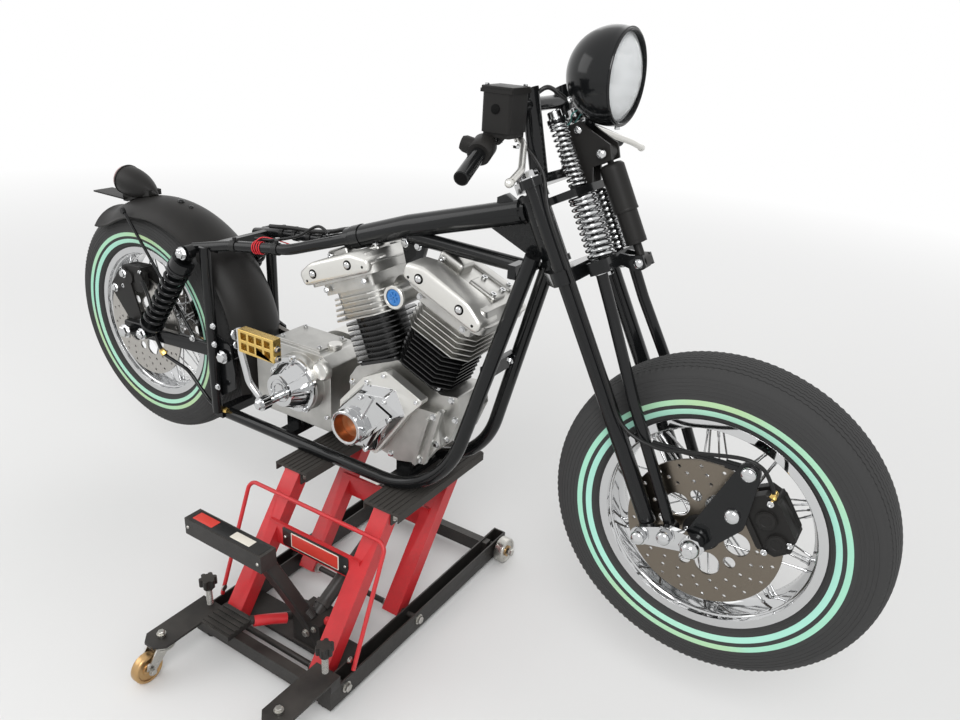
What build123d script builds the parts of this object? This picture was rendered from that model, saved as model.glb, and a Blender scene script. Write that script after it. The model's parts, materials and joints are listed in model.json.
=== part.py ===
from build123d import *
from math import atan2, cos, degrees, hypot, pi, radians, sin
import os

# Chopper motorcycle on its scissor lift, sizes in millimetres.
# X points forward, Y to the rider's left and Z up.
# The origin is on the floor, midway between the two axles.

# Clearances: between pieces that seat, and between a shaft and its bore
SEAT = 0.3
RUNNING = 0.4

# Tyres, rims and hubs, the same size front and rear
TYRE_R = 324
TYRE_W = 128
RIM_R = 217
RIM_W = 100
RIM_WELL_R = 188
RIM_WALL = 3
SPOKES_PER_FLANGE = 20
SPOKE_R = 2
SPOKE_TWIST = 42
HUB_R = 25
HUB_FLANGE_R = 40
HUB_FLANGE_Y = 34
HUB_W = 118
AXLE_R = 9.5

# Layout from the rear tyre forward to the front axle
TYRE_TO_PIVOT = 32
PIVOT_TO_GEARBOX = 235
GEARBOX_TO_CRANK = 295
CRANK_TO_HEAD = 289
HEAD_TO_AXLE = 437
WHEELBASE = TYRE_R + TYRE_TO_PIVOT + PIVOT_TO_GEARBOX + GEARBOX_TO_CRANK + CRANK_TO_HEAD + HEAD_TO_AXLE
REAR_X = -WHEELBASE / 2
FRONT_X = WHEELBASE / 2
PIVOT_X = REAR_X + TYRE_R + TYRE_TO_PIVOT
GEARBOX_X = PIVOT_X + PIVOT_TO_GEARBOX
CRANK_X = GEARBOX_X + GEARBOX_TO_CRANK
HEAD_X = CRANK_X + CRANK_TO_HEAD

# Layout upwards, from the lift's pads
RAIL_Z = 382
AXLE_Z = RAIL_Z + 163
CRANK_Z = RAIL_Z + 138
GEARBOX_Z = CRANK_Z + 25
PIVOT_Z = AXLE_Z + 11
HEAD_Z = AXLE_Z + 520

# Brakes
DISC_R = 146
DISC_T = 5
DISC_Y = 66
DISC_BORE_R = 17.5
DISC_BOSS_R = 34
DISC_CLEAR = 5
DRILL_R = 3.6
DRILL_ROWS = 20
DRILL_SLANT = 5
CALIPER_OUT = 27
CALIPER_IN = 17
PISTON_R = 18
PISTON_H = 6
FRONT_CALIPER_TURN = 34
REAR_CALIPER_TURN = 95
REAR_BRACKET_Y = 85.8
REAR_BRACKET_T = 5

# Steering head and springer fork, placed along the steering axis
RAKE = 27.3
HEAD_R = 26
HEAD_CUP_R = 30
HEAD_CUP_H = 12
HEAD_LOW = -112
HEAD_HIGH = 30
CROWN_HIGH = 36
CROWN_T = 16
STEM_R = 12.7
STEM_NUT_R = 19
STEM_NUT_H = 14
RIGID_V = 61
RIGID_Y = TYRE_W / 2 + 29
RIGID_R = 16.5
SPRING_LEG_R = 11
SPRING_LEG_Y = RIGID_Y - 1
SPRING_ROD_V = 117
SPRING_ROD_Y = 40
SPRING_ROD_R = 7
UPPER_SPRING_R = 17.5
UPPER_WIRE_R = 2.9
UPPER_TURNS = 13
LOWER_SPRING_R = 26
LOWER_WIRE_R = 3.6
LOWER_TURNS = 11
BRIDGE_LOW = -146
BRIDGE_MID = 2
BRIDGE_T = 14
SPRING_BRIDGE_HIGH = -124
SPRING_TOP = 128
ROD_CAP_H = 20
DAMPER_V = 172
DAMPER_R = 22.5
DAMPER_SLEEVE_R = 19.5
DAMPER_HIGH = 50
DAMPER_LOW = -155
DAMPER_EYE_R = 14
DAMPER_PIN_R = 5
CHEEK_Y = 20.3
CHEEK_T = 6
ROCKER_R = 17
ROCKER_T = 12
ROCKER_GAP = 2
ROCKER_PIN_R = 8
BRACKET_Y = 98
BRACKET_T = 8

# Handlebar and lamp
BAR_R = 12.7
BAR_Z = HEAD_Z + 195
RISER_Y = 62
RISER_R = 17
RISER_WALL = 3.5
RISER_TOP = 198
LAMP_X = HEAD_X + 143
LAMP_Z = HEAD_Z + 252
LAMP_R = 82
LAMP_WALL = 3
LAMP_RIM_W = 14
LAMP_DEPTH = 100
GLASS_R = 75
GLASS_T = 5
GLASS_BULGE = 24

# Frame
SPINE_R = 25
TUBE_R = 15.9
SEAT_TUBE_R = 12.9
RAIL_Y = 85
RAIL_BEND_R = 220
RAIL_FRONT_X = HEAD_X - 147
DOWNTUBE_TOP_X = HEAD_X + 21
DOWNTUBE_TOP_Z = HEAD_Z - 83
DOWNTUBE_TOP_Y = 44.5
SPINE_END_X = CRANK_X - 176
SPINE_END_Z = CRANK_Z + 398
PILLAR_X = PIVOT_X - 32
PILLAR_Y = TYRE_W / 2 + 43
PILLAR_R = 14
RAIL_REAR_X = PILLAR_X + 16
MOUNT_L = 40
SHOCK_Y = PILLAR_Y + 23
SHOCK_R = 30
SHOCK_BODY_R = 19
SHOCK_WIRE_R = 4.6
SHOCK_TURNS = 9
SHOCK_PIN_R = 8
SHOCK_EYE_W = 22
SHOCK_EYE_R = 17
SHOCK_TOP_X = PILLAR_X - 34
SHOCK_TOP_Z = AXLE_Z + 282
SHOCK_LOW_X = REAR_X + 92
SHOCK_LOW_Z = AXLE_Z + 19
PIVOT_R = 18
ARM_Y = TYRE_W / 2 + 42
ARM_T = 24
ARM_H = 42
ARM_FRONT_Y = 80
ARM_FRONT_T = 16
ARM_FRONT_H = 36

# Fender
FENDER_X = REAR_X + 61
FENDER_R = TYRE_R + 35
FENDER_W = TYRE_W + 37
FENDER_T = 3
FENDER_DROP = 46
FENDER_BEAD_R = 3
FENDER_START = 11
FENDER_ARC = 107
FLARE_R = 130
FLARE_ARC = 26
STRUT_R = 4
TAIL_LEAN = 10
TAIL_LENGTH = 156

# Engine
V_HALF = 22.5
BARREL_LOW = 150
BARREL_HIGH = 262
BARREL_R = 58
FIN_HALF = 76
FIN_CORNER = 34
FIN_PITCH = 12
FIN_T = 3
HEAD_TOP = 352
HEAD_L = 150
HEAD_W = 140
HEAD_FIN_OUT = 9
COVER_TOP = 398
COVER_L = 205
COVER_W = 185
COVER_BAND = 22
V_GAP = 2
CASE_HALF_W = 58
CASE_LOW = RAIL_Z + 54
CHEST_FACE = -104
CAM_FACE = -132
NOSE_FACE = -152
NOSE_X = CRANK_X - 74
NOSE_Z = CRANK_Z + 5
NOSE_R = 42
NOSE_BORE_R = 34
NOSE_BORE_DEPTH = 30
INTAKE_R = 24
INTAKE_BORE_R = 19
INTAKE_FACE = -78

# Gearbox and chain
GEARBOX_LOW = RAIL_Z + 48
GEARBOX_FACE = -86
KICK_COVER_R = 66
KICK_COVER_T = 52
KICK_RIBS = 8
SPROCKET_X = GEARBOX_X - 103
SPROCKET_Z = CRANK_Z
CHAIN_Y = 77
CHAIN_W = 14
CHAIN_H = 12
SPROCKET_T = 6
SPROCKET_GAP = 0.5
REAR_SPROCKET_R = 97
FRONT_SPROCKET_R = 46
PRIMARY_Y = 92
PRIMARY_T = 62
PRIMARY_REAR_R = 104
PRIMARY_FRONT_R = 88
CLUTCH_LID_R = 66

# Kick starter
KICK_X = GEARBOX_X - 7
KICK_Y = -180
KICK_Z = CRANK_Z + 8
KICK_SHAFT_R = 11
KICK_ARM_R = 8
KICK_TOP_X = KICK_X - 54
KICK_TOP_Z = KICK_Z + 156
PEDAL_L = 112
PEDAL_H = 56
PEDAL_T = 24
PEDAL_SLOTS = 4

# Lift
LIFT_X = -20
LIFT_WING_Z = 84
KINGPIN_R = 6
CASTER_GAP = 0.5
CASTER_WHEEL_T = 22
CASTER_AXLE_R = 5
PAD_DX = 140
PAD_W = 96
PAD_TOP = RAIL_Z - TUBE_R - SEAT
PAD_NEAR = -165
PAD_FAR = 190
PAD_T = 8
PAD_RIBS = 7
LIFT_RAIL_DX = 195
LIFT_RAIL_W = 36
LIFT_RAIL_H = 50
LIFT_RAIL_Z = 12
LIFT_WALL = 4
LIFT_NEAR = -420
LIFT_FAR = 300
ARM_TOP_Y = -143
ARM_TOP_Z = PAD_TOP - 20
ARM_LOW_Y = -368
ARM_LOW_Z = 40
ARM_PAIR_DY = 262
ARM_DX = 140
ARM_PIN_R = 7
LIFT_ARM_W = 46
LIFT_ARM_D = 38
LIFT_WHEEL_R = 35
LIFT_WHEEL_T = 28
LIFT_WHEEL_Y = 262
LIFT_WHEEL_GAP = 6
LIFT_AXLE_R = 7
PUMP_X = -14
PUMP_W = 84
PUMP_Y = -320
PUMP_L = 70
CASTER_DX = 182
CASTER_Y = -535
CASTER_TRAIL = 45
FOOT_R = 7
KNOB_R = 20
SAFETY_R = 5

FORK = Plane(
    origin=(HEAD_X, 0, HEAD_Z),
    x_dir=(cos(radians(RAKE)), 0, sin(radians(RAKE))),
    z_dir=(-sin(radians(RAKE)), 0, cos(radians(RAKE))),
)
FORK_SIDE = Plane(origin=FORK.origin, x_dir=FORK.x_dir, z_dir=(0, -1, 0))

# The front axle and the eyes of the fork's legs, ahead of and up the steering axis
AXLE_V, AXLE_SIDE, AXLE_U = FORK.to_local_coords(Vector(FRONT_X, 0, AXLE_Z))
RIGID_EYE = (AXLE_V - 97, AXLE_U + 27)
SPRING_EYE = (AXLE_V - 46, AXLE_U + 23)


def fork_point(v, y, u):
    """Place of a point v ahead of the steering axis and u up along it."""
    return FORK.from_local_coords(Vector(v, y, u))


def rod(start, end, radius, mode=Mode.ADD):
    """Round bar between two points, added to the part in hand or cut from it."""
    run = Vector(*end) - Vector(*start) if isinstance(end, tuple) else end - start
    with BuildSketch(Plane(origin=start, z_dir=run)) as section:
        Circle(radius)
    extrude(section.sketch, amount=run.length, mode=mode)


def bent_tube(points, bends, radius):
    """Round tube along straight runs joined by arcs."""
    with BuildLine() as path:
        FilletPolyline(*points, radius=bends)
    wire = path.wire()
    with BuildSketch(Plane(origin=wire @ 0, z_dir=wire % 0)) as section:
        Circle(radius)
    sweep(section.sketch, path=wire)


def coil(foot, head, outer, wire_r, turns):
    """Coil spring between two points, its wire carried along a helix."""
    line = head - foot
    height = line.length - 2 * wire_r
    with BuildLine(Plane.XY) as path:
        Helix(pitch=height / turns, height=height, radius=outer - wire_r)
    seat = Plane(origin=foot + line.normalized() * wire_r, z_dir=line)
    wire = path.wire().moved(seat.location)
    with BuildSketch(Plane(origin=wire @ 0, z_dir=wire % 0)) as section:
        Circle(wire_r)
    sweep(section.sketch, path=wire, is_frenet=True)


def block(x, y, z, mode=Mode.ADD):
    """Box between two values along each axis."""
    with Locations(((x[0] + x[1]) / 2, (y[0] + y[1]) / 2, (z[0] + z[1]) / 2)):
        Box(abs(x[1] - x[0]), abs(y[1] - y[0]), abs(z[1] - z[0]), mode=mode)


def outlined(plane, outline, depth, corner=0, taper=0, mode=Mode.ADD):
    """Plate from a polygon on a plane, its corners rounded and its edge tapered if asked."""
    with BuildSketch(plane) as section:
        with BuildLine() as edge:
            Polyline(*outline, close=True)
        make_face(edge.edges())
        if corner:
            fillet(section.vertices(), corner)
    extrude(section.sketch, amount=depth, taper=taper, mode=mode)


def plate(outline, y_low, y_high, corner=0, mode=Mode.ADD):
    """Flat plate whose outline is drawn in X and Z, between two values of Y."""
    outlined(Plane.XZ.offset(-y_high), outline, y_high - y_low, corner, mode=mode)


def fork_plate(outline, y_low, y_high):
    """Flat plate whose outline is drawn ahead of and up the steering axis."""
    outlined(FORK_SIDE.offset(-y_high), outline, y_high - y_low)


def hull_plate(circles, y_low, y_high):
    """Flat plate drawn tight round circles of (X, Z, radius), between two values of Y."""
    with BuildSketch(Plane.XZ.offset(-y_high)) as section:
        for x, z, radius in circles:
            with Locations((x, z)):
                Circle(radius)
        make_hull()
    extrude(section.sketch, amount=y_high - y_low)


def turned(x, z, profile):
    """Ring or disc from a profile of (Y, radius) turned about a crosswise axis."""
    with BuildSketch(Plane(origin=(x, 0, z), x_dir=(0, 1, 0), z_dir=(1, 0, 0))) as section:
        with BuildLine() as edge:
            Polyline(*profile, close=True)
        make_face(edge.edges())
    revolve(section.sketch, axis=Axis((x, 0, z), (0, 1, 0)))


def finish(part, name):
    """Label a finished piece and write it."""
    part.label = name
    export_step(part, "parts/" + name + ".step")


os.makedirs("parts", exist_ok=True)


# Wheels
def mirrored(points):
    """A half section followed by its mirror image, as one closed outline."""
    return [*points, *[(-y, r) for y, r in reversed(points)]]


def rim_section():
    """Drop-centre rim section with a stepped inner face."""
    half = RIM_W / 2
    outside = [
        (half, RIM_R),
        (half - RIM_WALL, RIM_R),
        (half - RIM_WALL, RIM_R - 14),
        (half - 20, RIM_R - 16),
        (half - 30, RIM_WELL_R + RIM_WALL),
    ]
    inside = [
        (half, RIM_R - 17),
        (half - 9, RIM_R - 18),
        (half - 11, RIM_R - 21.5),
        (half - 19, RIM_R - 22),
        (half - 29, RIM_WELL_R),
    ]
    return [*mirrored(outside), *[(-y, r) for y, r in inside], *reversed(inside)]


def tyre_section():
    """Outer section of the tyre, seated on the rim's flanges."""
    half = [
        (RIM_W / 2, RIM_R + SEAT),
        (TYRE_W / 2, RIM_R + 45),
        (TYRE_W / 2 - 10, TYRE_R - 20),
        (TYRE_W / 2 - 42, TYRE_R),
    ]
    return mirrored(half)


def hub_section():
    """Hub barrel with a spoke flange at each end and a bore for the axle."""
    bore = AXLE_R + RUNNING
    half = [
        (HUB_W / 2, bore),
        (HUB_W / 2, HUB_R),
        (HUB_FLANGE_Y + 6, HUB_R),
        (HUB_FLANGE_Y + 3, HUB_FLANGE_R),
        (HUB_FLANGE_Y - 3, HUB_FLANGE_R),
        (HUB_FLANGE_Y - 6, HUB_R),
    ]
    return mirrored(half)


def spokes(wheel_x):
    """Crossed spokes from both flanges of the hub to the rim's well."""
    inner = HUB_FLANGE_R - 4
    outer = RIM_WELL_R - 1.5
    for flange in (-1, 1):
        for number in range(SPOKES_PER_FLANGE):
            lean = 1 if number % 2 else -1
            hub_angle = radians(360 / SPOKES_PER_FLANGE * number)
            rim_angle = hub_angle + radians(SPOKE_TWIST * lean)
            hub_y = flange * (HUB_FLANGE_Y + 3 * lean)
            rim_y = flange * (9 + 3 * lean)
            start = Vector(wheel_x + inner * cos(hub_angle), hub_y, AXLE_Z + inner * sin(hub_angle))
            end = Vector(wheel_x + outer * cos(rim_angle), rim_y, AXLE_Z + outer * sin(rim_angle))
            rod(start, end, SPOKE_R)


def disc_face(wheel_x):
    """Brake disc with five windows, five smaller ones and slanted rows of drilled holes."""
    with Locations((wheel_x, AXLE_Z)):
        Circle(DISC_R)
        Circle(DISC_BORE_R, mode=Mode.SUBTRACT)
        with PolarLocations(DISC_R * 0.45, 5):
            Circle(DISC_R * 0.165, mode=Mode.SUBTRACT)
        with PolarLocations(DISC_R * 0.5, 5, start_angle=36):
            Circle(DISC_R * 0.08, mode=Mode.SUBTRACT)
        for row, reach in enumerate((0.7, 0.81, 0.92)):
            with PolarLocations(DISC_R * reach, DRILL_ROWS, start_angle=row * DRILL_SLANT):
                Circle(DRILL_R, mode=Mode.SUBTRACT)


for side, wheel_x in (("rear", REAR_X), ("front", FRONT_X)):
    with BuildPart() as tyre:
        turned(wheel_x, AXLE_Z, tyre_section())
    finish(tyre.part, side + "_tyre")

    with BuildPart() as rim:
        turned(wheel_x, AXLE_Z, rim_section())
    finish(rim.part, side + "_rim")

    with BuildPart() as hub:
        turned(wheel_x, AXLE_Z, hub_section())
        spokes(wheel_x)
    finish(hub.part, side + "_hub_and_spokes")

    with BuildPart() as disc:
        with BuildSketch(Plane.XZ.offset(DISC_Y)):
            disc_face(wheel_x)
        extrude(amount=DISC_T)
        with BuildSketch(Plane.XZ.offset(HUB_W / 2 + SEAT)):
            with Locations((wheel_x, AXLE_Z)):
                Circle(DISC_BOSS_R)
                Circle(DISC_BORE_R, mode=Mode.SUBTRACT)
        extrude(amount=DISC_Y - HUB_W / 2)
    finish(disc.part, side + "_brake_disc")


# Frame
SPINE_END = Vector(SPINE_END_X, 0, SPINE_END_Z)
SPINE_BEND = Vector(CRANK_X - 18, 0, CRANK_Z + 454)
SPINE_RUN = (SPINE_END - SPINE_BEND).normalized()
BRACE_Z = HEAD_Z - 121

with BuildPart() as spine:
    rod(fork_point(0, 0, HEAD_LOW), fork_point(0, 0, HEAD_HIGH), HEAD_R)
    rod(fork_point(0, 0, HEAD_LOW), fork_point(0, 0, HEAD_LOW + HEAD_CUP_H), HEAD_CUP_R)
    rod(fork_point(0, 0, HEAD_HIGH - HEAD_CUP_H), fork_point(0, 0, HEAD_HIGH), HEAD_CUP_R)
    bent_tube([fork_point(-HEAD_R + 6, 0, 2), SPINE_BEND, SPINE_END], [160], SPINE_R)
    fork_plate([(-18, 20), (-18, -98), (-46, -86), (-116, 0), (-116, 20)], -7, 7)
    fork_plate([(-22, 14), (-22, 28), (-42, 30), (-54, 48), (-74, 48), (-86, 24)], -9, 9)
    rod(Vector(CRANK_X - 14, 0, SPINE_BEND.Z - 22), Vector(HEAD_X - 17, 0, BRACE_Z), TUBE_R)
    block((HEAD_X - 28, HEAD_X - 10.6), (-52, 52), (BRACE_Z - 14, BRACE_Z + 14))
    plate(
        [
            (CRANK_X - 40, SPINE_END_Z + 34),
            (CRANK_X - 22, SPINE_END_Z - 28),
            (CRANK_X - 22, SPINE_END_Z - 56),
            (CRANK_X + 16, SPINE_END_Z - 56),
            (CRANK_X + 16, SPINE_END_Z - 28),
            (CRANK_X + 34, SPINE_END_Z + 34),
        ],
        -6,
        6,
        corner=5,
    )
    rod(fork_point(0, 0, HEAD_LOW - 1), fork_point(0, 0, HEAD_HIGH + 1), STEM_R + RUNNING, mode=Mode.SUBTRACT)
finish(spine.part, "frame_spine")

with BuildPart() as cradle:
    for y in (-1, 1):
        bent_tube(
            [
                (DOWNTUBE_TOP_X, y * DOWNTUBE_TOP_Y, DOWNTUBE_TOP_Z),
                (RAIL_FRONT_X, y * RAIL_Y, RAIL_Z),
                (RAIL_REAR_X, y * RAIL_Y, RAIL_Z),
            ],
            [RAIL_BEND_R],
            TUBE_R,
        )
    block((HEAD_X - 71, HEAD_X - 57), (-62, 62), (HEAD_Z - 365, HEAD_Z - 335))
    for x, top in ((CRANK_X + 10, CASE_LOW), (GEARBOX_X - 55, GEARBOX_LOW)):
        across = (x - MOUNT_L / 2, x + MOUNT_L / 2)
        block(across, (-RAIL_Y, RAIL_Y), (RAIL_Z - 8, RAIL_Z + 8))
        block(across, (-45, 45), (RAIL_Z + 6, top))
        block(across, (-35, 35), (RAIL_Z + 14, top - 10), mode=Mode.SUBTRACT)
finish(cradle.part, "frame_cradle")

with BuildPart() as rear_frame:
    rod(SPINE_END + SPINE_RUN * SEAT, SPINE_END + SPINE_RUN * 16, SPINE_R)
    for y in (-1, 1):
        bent_tube(
            [
                SPINE_END + SPINE_RUN * 8 + Vector(0, y * 11, 0),
                (GEARBOX_X - 25, y * 62, SHOCK_TOP_Z + 46),
                (PILLAR_X + 62, y * 84, SHOCK_TOP_Z + 25),
                (SHOCK_TOP_X - 12, y * 101, SHOCK_TOP_Z + 3),
            ],
            [120, 120],
            SEAT_TUBE_R,
        )
        rod(
            Vector(PILLAR_X, y * PILLAR_Y, SHOCK_TOP_Z + 15),
            Vector(PILLAR_X, y * PILLAR_Y, RAIL_Z + 8),
            PILLAR_R,
        )
        rod(
            Vector(SHOCK_TOP_X, y * 95, SHOCK_TOP_Z),
            Vector(SHOCK_TOP_X, y * (SHOCK_Y + 18), SHOCK_TOP_Z),
            SHOCK_PIN_R,
        )
        plate(
            [
                (PILLAR_X, PIVOT_Z - 126),
                (PILLAR_X, PIVOT_Z + 54),
                (PIVOT_X + 22, PIVOT_Z + 34),
                (PIVOT_X + 34, PIVOT_Z - 40),
                (PIVOT_X + 30, PIVOT_Z - 86),
            ],
            min(y * 92, y * 98),
            max(y * 92, y * 98),
        )
        rod(
            Vector(PIVOT_X, y * (ARM_FRONT_Y + ARM_FRONT_T / 2 + 2.1), PIVOT_Z),
            Vector(PIVOT_X, y * 104, PIVOT_Z),
            11,
        )
    block((PILLAR_X + 4, PILLAR_X + 20), (-84, 84), (SHOCK_TOP_Z - 3, SHOCK_TOP_Z + 23))
    block(
        (RAIL_REAR_X - 30, RAIL_REAR_X - SEAT),
        (-PILLAR_Y, PILLAR_Y),
        (RAIL_Z - 8, RAIL_Z + 14),
    )
finish(rear_frame.part, "frame_rear")

with BuildPart() as swingarm:
    for y in (-1, 1):
        with BuildSketch(Plane.YZ.offset(PIVOT_X + 12)):
            with Locations((y * ARM_FRONT_Y, PIVOT_Z)):
                RectangleRounded(ARM_FRONT_T, ARM_FRONT_H, 5)
        with BuildSketch(Plane.YZ.offset(REAR_X - 26)):
            with Locations((y * ARM_Y, AXLE_Z)):
                RectangleRounded(ARM_T, ARM_H, 5)
        loft()
        rod(
            Vector(SHOCK_LOW_X, y * ARM_Y, SHOCK_LOW_Z),
            Vector(SHOCK_LOW_X, y * (SHOCK_Y + 18), SHOCK_LOW_Z),
            SHOCK_PIN_R,
        )
    rod(Vector(PIVOT_X, -ARM_FRONT_Y, PIVOT_Z), Vector(PIVOT_X, ARM_FRONT_Y, PIVOT_Z), PIVOT_R)
    rod(Vector(REAR_X, -ARM_Y - 28, AXLE_Z), Vector(REAR_X, ARM_Y + 28, AXLE_Z), AXLE_R)
finish(swingarm.part, "swingarm")

for name, y in (("right", -1), ("left", 1)):
    with BuildPart() as shock:
        top = Vector(SHOCK_TOP_X, y * SHOCK_Y, SHOCK_TOP_Z)
        low = Vector(SHOCK_LOW_X, y * SHOCK_Y, SHOCK_LOW_Z)
        down = (low - top).normalized()
        length = (low - top).length
        half_eye = Vector(0, SHOCK_EYE_W / 2, 0)
        rod(top, low, 8)
        rod(top + down * 60, top + down * (length - 30), SHOCK_BODY_R)
        rod(top + down * 26, top + down * 62, SHOCK_R)
        rod(top + down * (length - 42), top + down * (length - 34), SHOCK_R)
        for eye in (top, low):
            rod(eye - half_eye, eye + half_eye, SHOCK_EYE_R)
        for eye in (top, low):
            rod(eye - half_eye * 2, eye + half_eye * 2, SHOCK_PIN_R + SEAT, mode=Mode.SUBTRACT)
        coil(
            top + down * (length - 42 - SEAT),
            top + down * (62 + SEAT),
            SHOCK_R - 0.5,
            SHOCK_WIRE_R,
            SHOCK_TURNS,
        )
    finish(shock.part, name + "_rear_shock")


def fender_section():
    """Face of the fender's crowned section with a rolled bead at each lip."""
    half = FENDER_W / 2
    lip = FENDER_R - FENDER_DROP
    with BuildLine() as edge:
        ThreePointArc((-half, lip), (0, FENDER_R), (half, lip))
        Line((half, lip), (half - FENDER_T, lip))
        ThreePointArc((half - FENDER_T, lip), (0, FENDER_R - FENDER_T), (FENDER_T - half, lip))
        Line((FENDER_T - half, lip), (-half, lip))
    make_face(edge.edges())
    with Locations((half - FENDER_BEAD_R, lip), (FENDER_BEAD_R - half, lip)):
        Circle(FENDER_BEAD_R)


with BuildPart() as fender:
    hub = Axis((FENDER_X, 0, AXLE_Z), (0, -1, 0))
    with BuildSketch(Plane(origin=(FENDER_X, 0, AXLE_Z), x_dir=(0, 1, 0), z_dir=(1, 0, 0))) as skin:
        fender_section()
    first = skin.sketch.rotate(hub, FENDER_START - 90)
    revolve(first, axis=hub, revolution_arc=FENDER_ARC)
    end = radians(FENDER_START + FENDER_ARC)
    last = skin.sketch.rotate(hub, FENDER_START + FENDER_ARC - 90)
    flare = Axis(
        (
            FENDER_X + (FENDER_R + FLARE_R) * cos(end),
            0,
            AXLE_Z + (FENDER_R + FLARE_R) * sin(end),
        ),
        (0, 1, 0),
    )
    revolve(last, axis=flare, revolution_arc=FLARE_ARC)
finish(fender.part, "rear_fender")


# Engine
def deck_point(lean, across):
    """Point (X, Z) on a cylinder's base plane, a distance across its axis."""
    tilt = radians(lean)
    x = CRANK_X + BARREL_LOW * sin(tilt) + across * cos(tilt)
    z = CRANK_Z + BARREL_LOW * cos(tilt) - across * sin(tilt)
    return (x, z)


def crank_outline(points):
    """Outline given from the crank's axis, placed in X and Z."""
    return [(CRANK_X + x, CRANK_Z + z) for x, z in points]


with BuildPart() as crankcase:
    plate(
        [
            *crank_outline([(-142, -50), (-142, 80)]),
            deck_point(-V_HALF, -68),
            (CRANK_X, CRANK_Z + BARREL_LOW / cos(radians(V_HALF))),
            deck_point(V_HALF, 68),
            *crank_outline([(164, 120), (172, 70), (145, 1)]),
            (CRANK_X + 59, CASE_LOW),
            (CRANK_X - 39, CASE_LOW),
        ],
        -CASE_HALF_W,
        CASE_HALF_W,
        corner=6,
    )
    # Right case bulge with two stiffening ribs and the lug of the front mount
    plate(
        crank_outline([(-60, -60), (20, -78), (92, -62), (138, 4), (126, 78), (-60, 70)]),
        -CASE_HALF_W - 22,
        -CASE_HALF_W,
        corner=8,
    )
    for outline in ([(96, -50), (104, -54), (146, 90), (138, 94)], [(70, -62), (78, -66), (112, 60), (104, 64)]):
        plate(crank_outline(outline), -CASE_HALF_W - 34, -CASE_HALF_W - 20)
finish(crankcase.part, "crankcase")

with BuildPart() as cam_cover:
    # Cam chest with its sloping upper shelf
    plate(
        crank_outline([(-62, 118), (2, 152), (106, 108), (66, 64), (-24, -66), (-92, -58), (-136, -26), (-132, 40)]),
        CHEST_FACE,
        -CASE_HALF_W - 22 - SEAT,
        corner=7,
    )
    # Pointed cover on the chest, tapered outwards
    outlined(
        Plane.XZ.offset(-CHEST_FACE),
        crank_outline([(-58, 104), (30, 116), (58, 60), (-26, -58), (-84, -52), (-128, -20), (-124, 36)]),
        CHEST_FACE - CAM_FACE,
        corner=8,
        taper=22,
    )
    nose = Vector(NOSE_X, 0, NOSE_Z)
    rod(nose + Vector(0, CHEST_FACE, 0), nose + Vector(0, NOSE_FACE, 0), NOSE_R)
    # Ribs from the nose to the cover's upper and front corners
    for outline in ([(-56, 30), (-44, 26), (-8, 92), (-20, 96)], [(-46, -12), (-40, -24), (34, 44), (28, 56)]):
        plate(crank_outline(outline), CAM_FACE - 6, CHEST_FACE - 2)
    rod(
        nose + Vector(0, NOSE_FACE + NOSE_BORE_DEPTH, 0),
        nose + Vector(0, NOSE_FACE - 1, 0),
        NOSE_BORE_R,
        mode=Mode.SUBTRACT,
    )
finish(cam_cover.part, "cam_cover")


def cylinder_plane(lean):
    """Plane across a cylinder at the crank, its normal up the cylinder's axis."""
    tilt = radians(lean)
    return Plane(
        origin=(CRANK_X, 0, CRANK_Z),
        x_dir=(cos(tilt), 0, -sin(tilt)),
        z_dir=(sin(tilt), 0, cos(tilt)),
    )


def fin(plane, half_l, half_w, corner, shift=0):
    """One cooling fin: a rectangle with cut corners, one fin thick."""
    with BuildSketch(plane) as face:
        with Locations((shift, 0)):
            blank = Rectangle(2 * half_l, 2 * half_w)
        chamfer(blank.vertices(), corner)
    extrude(face.sketch, amount=FIN_T)


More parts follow.
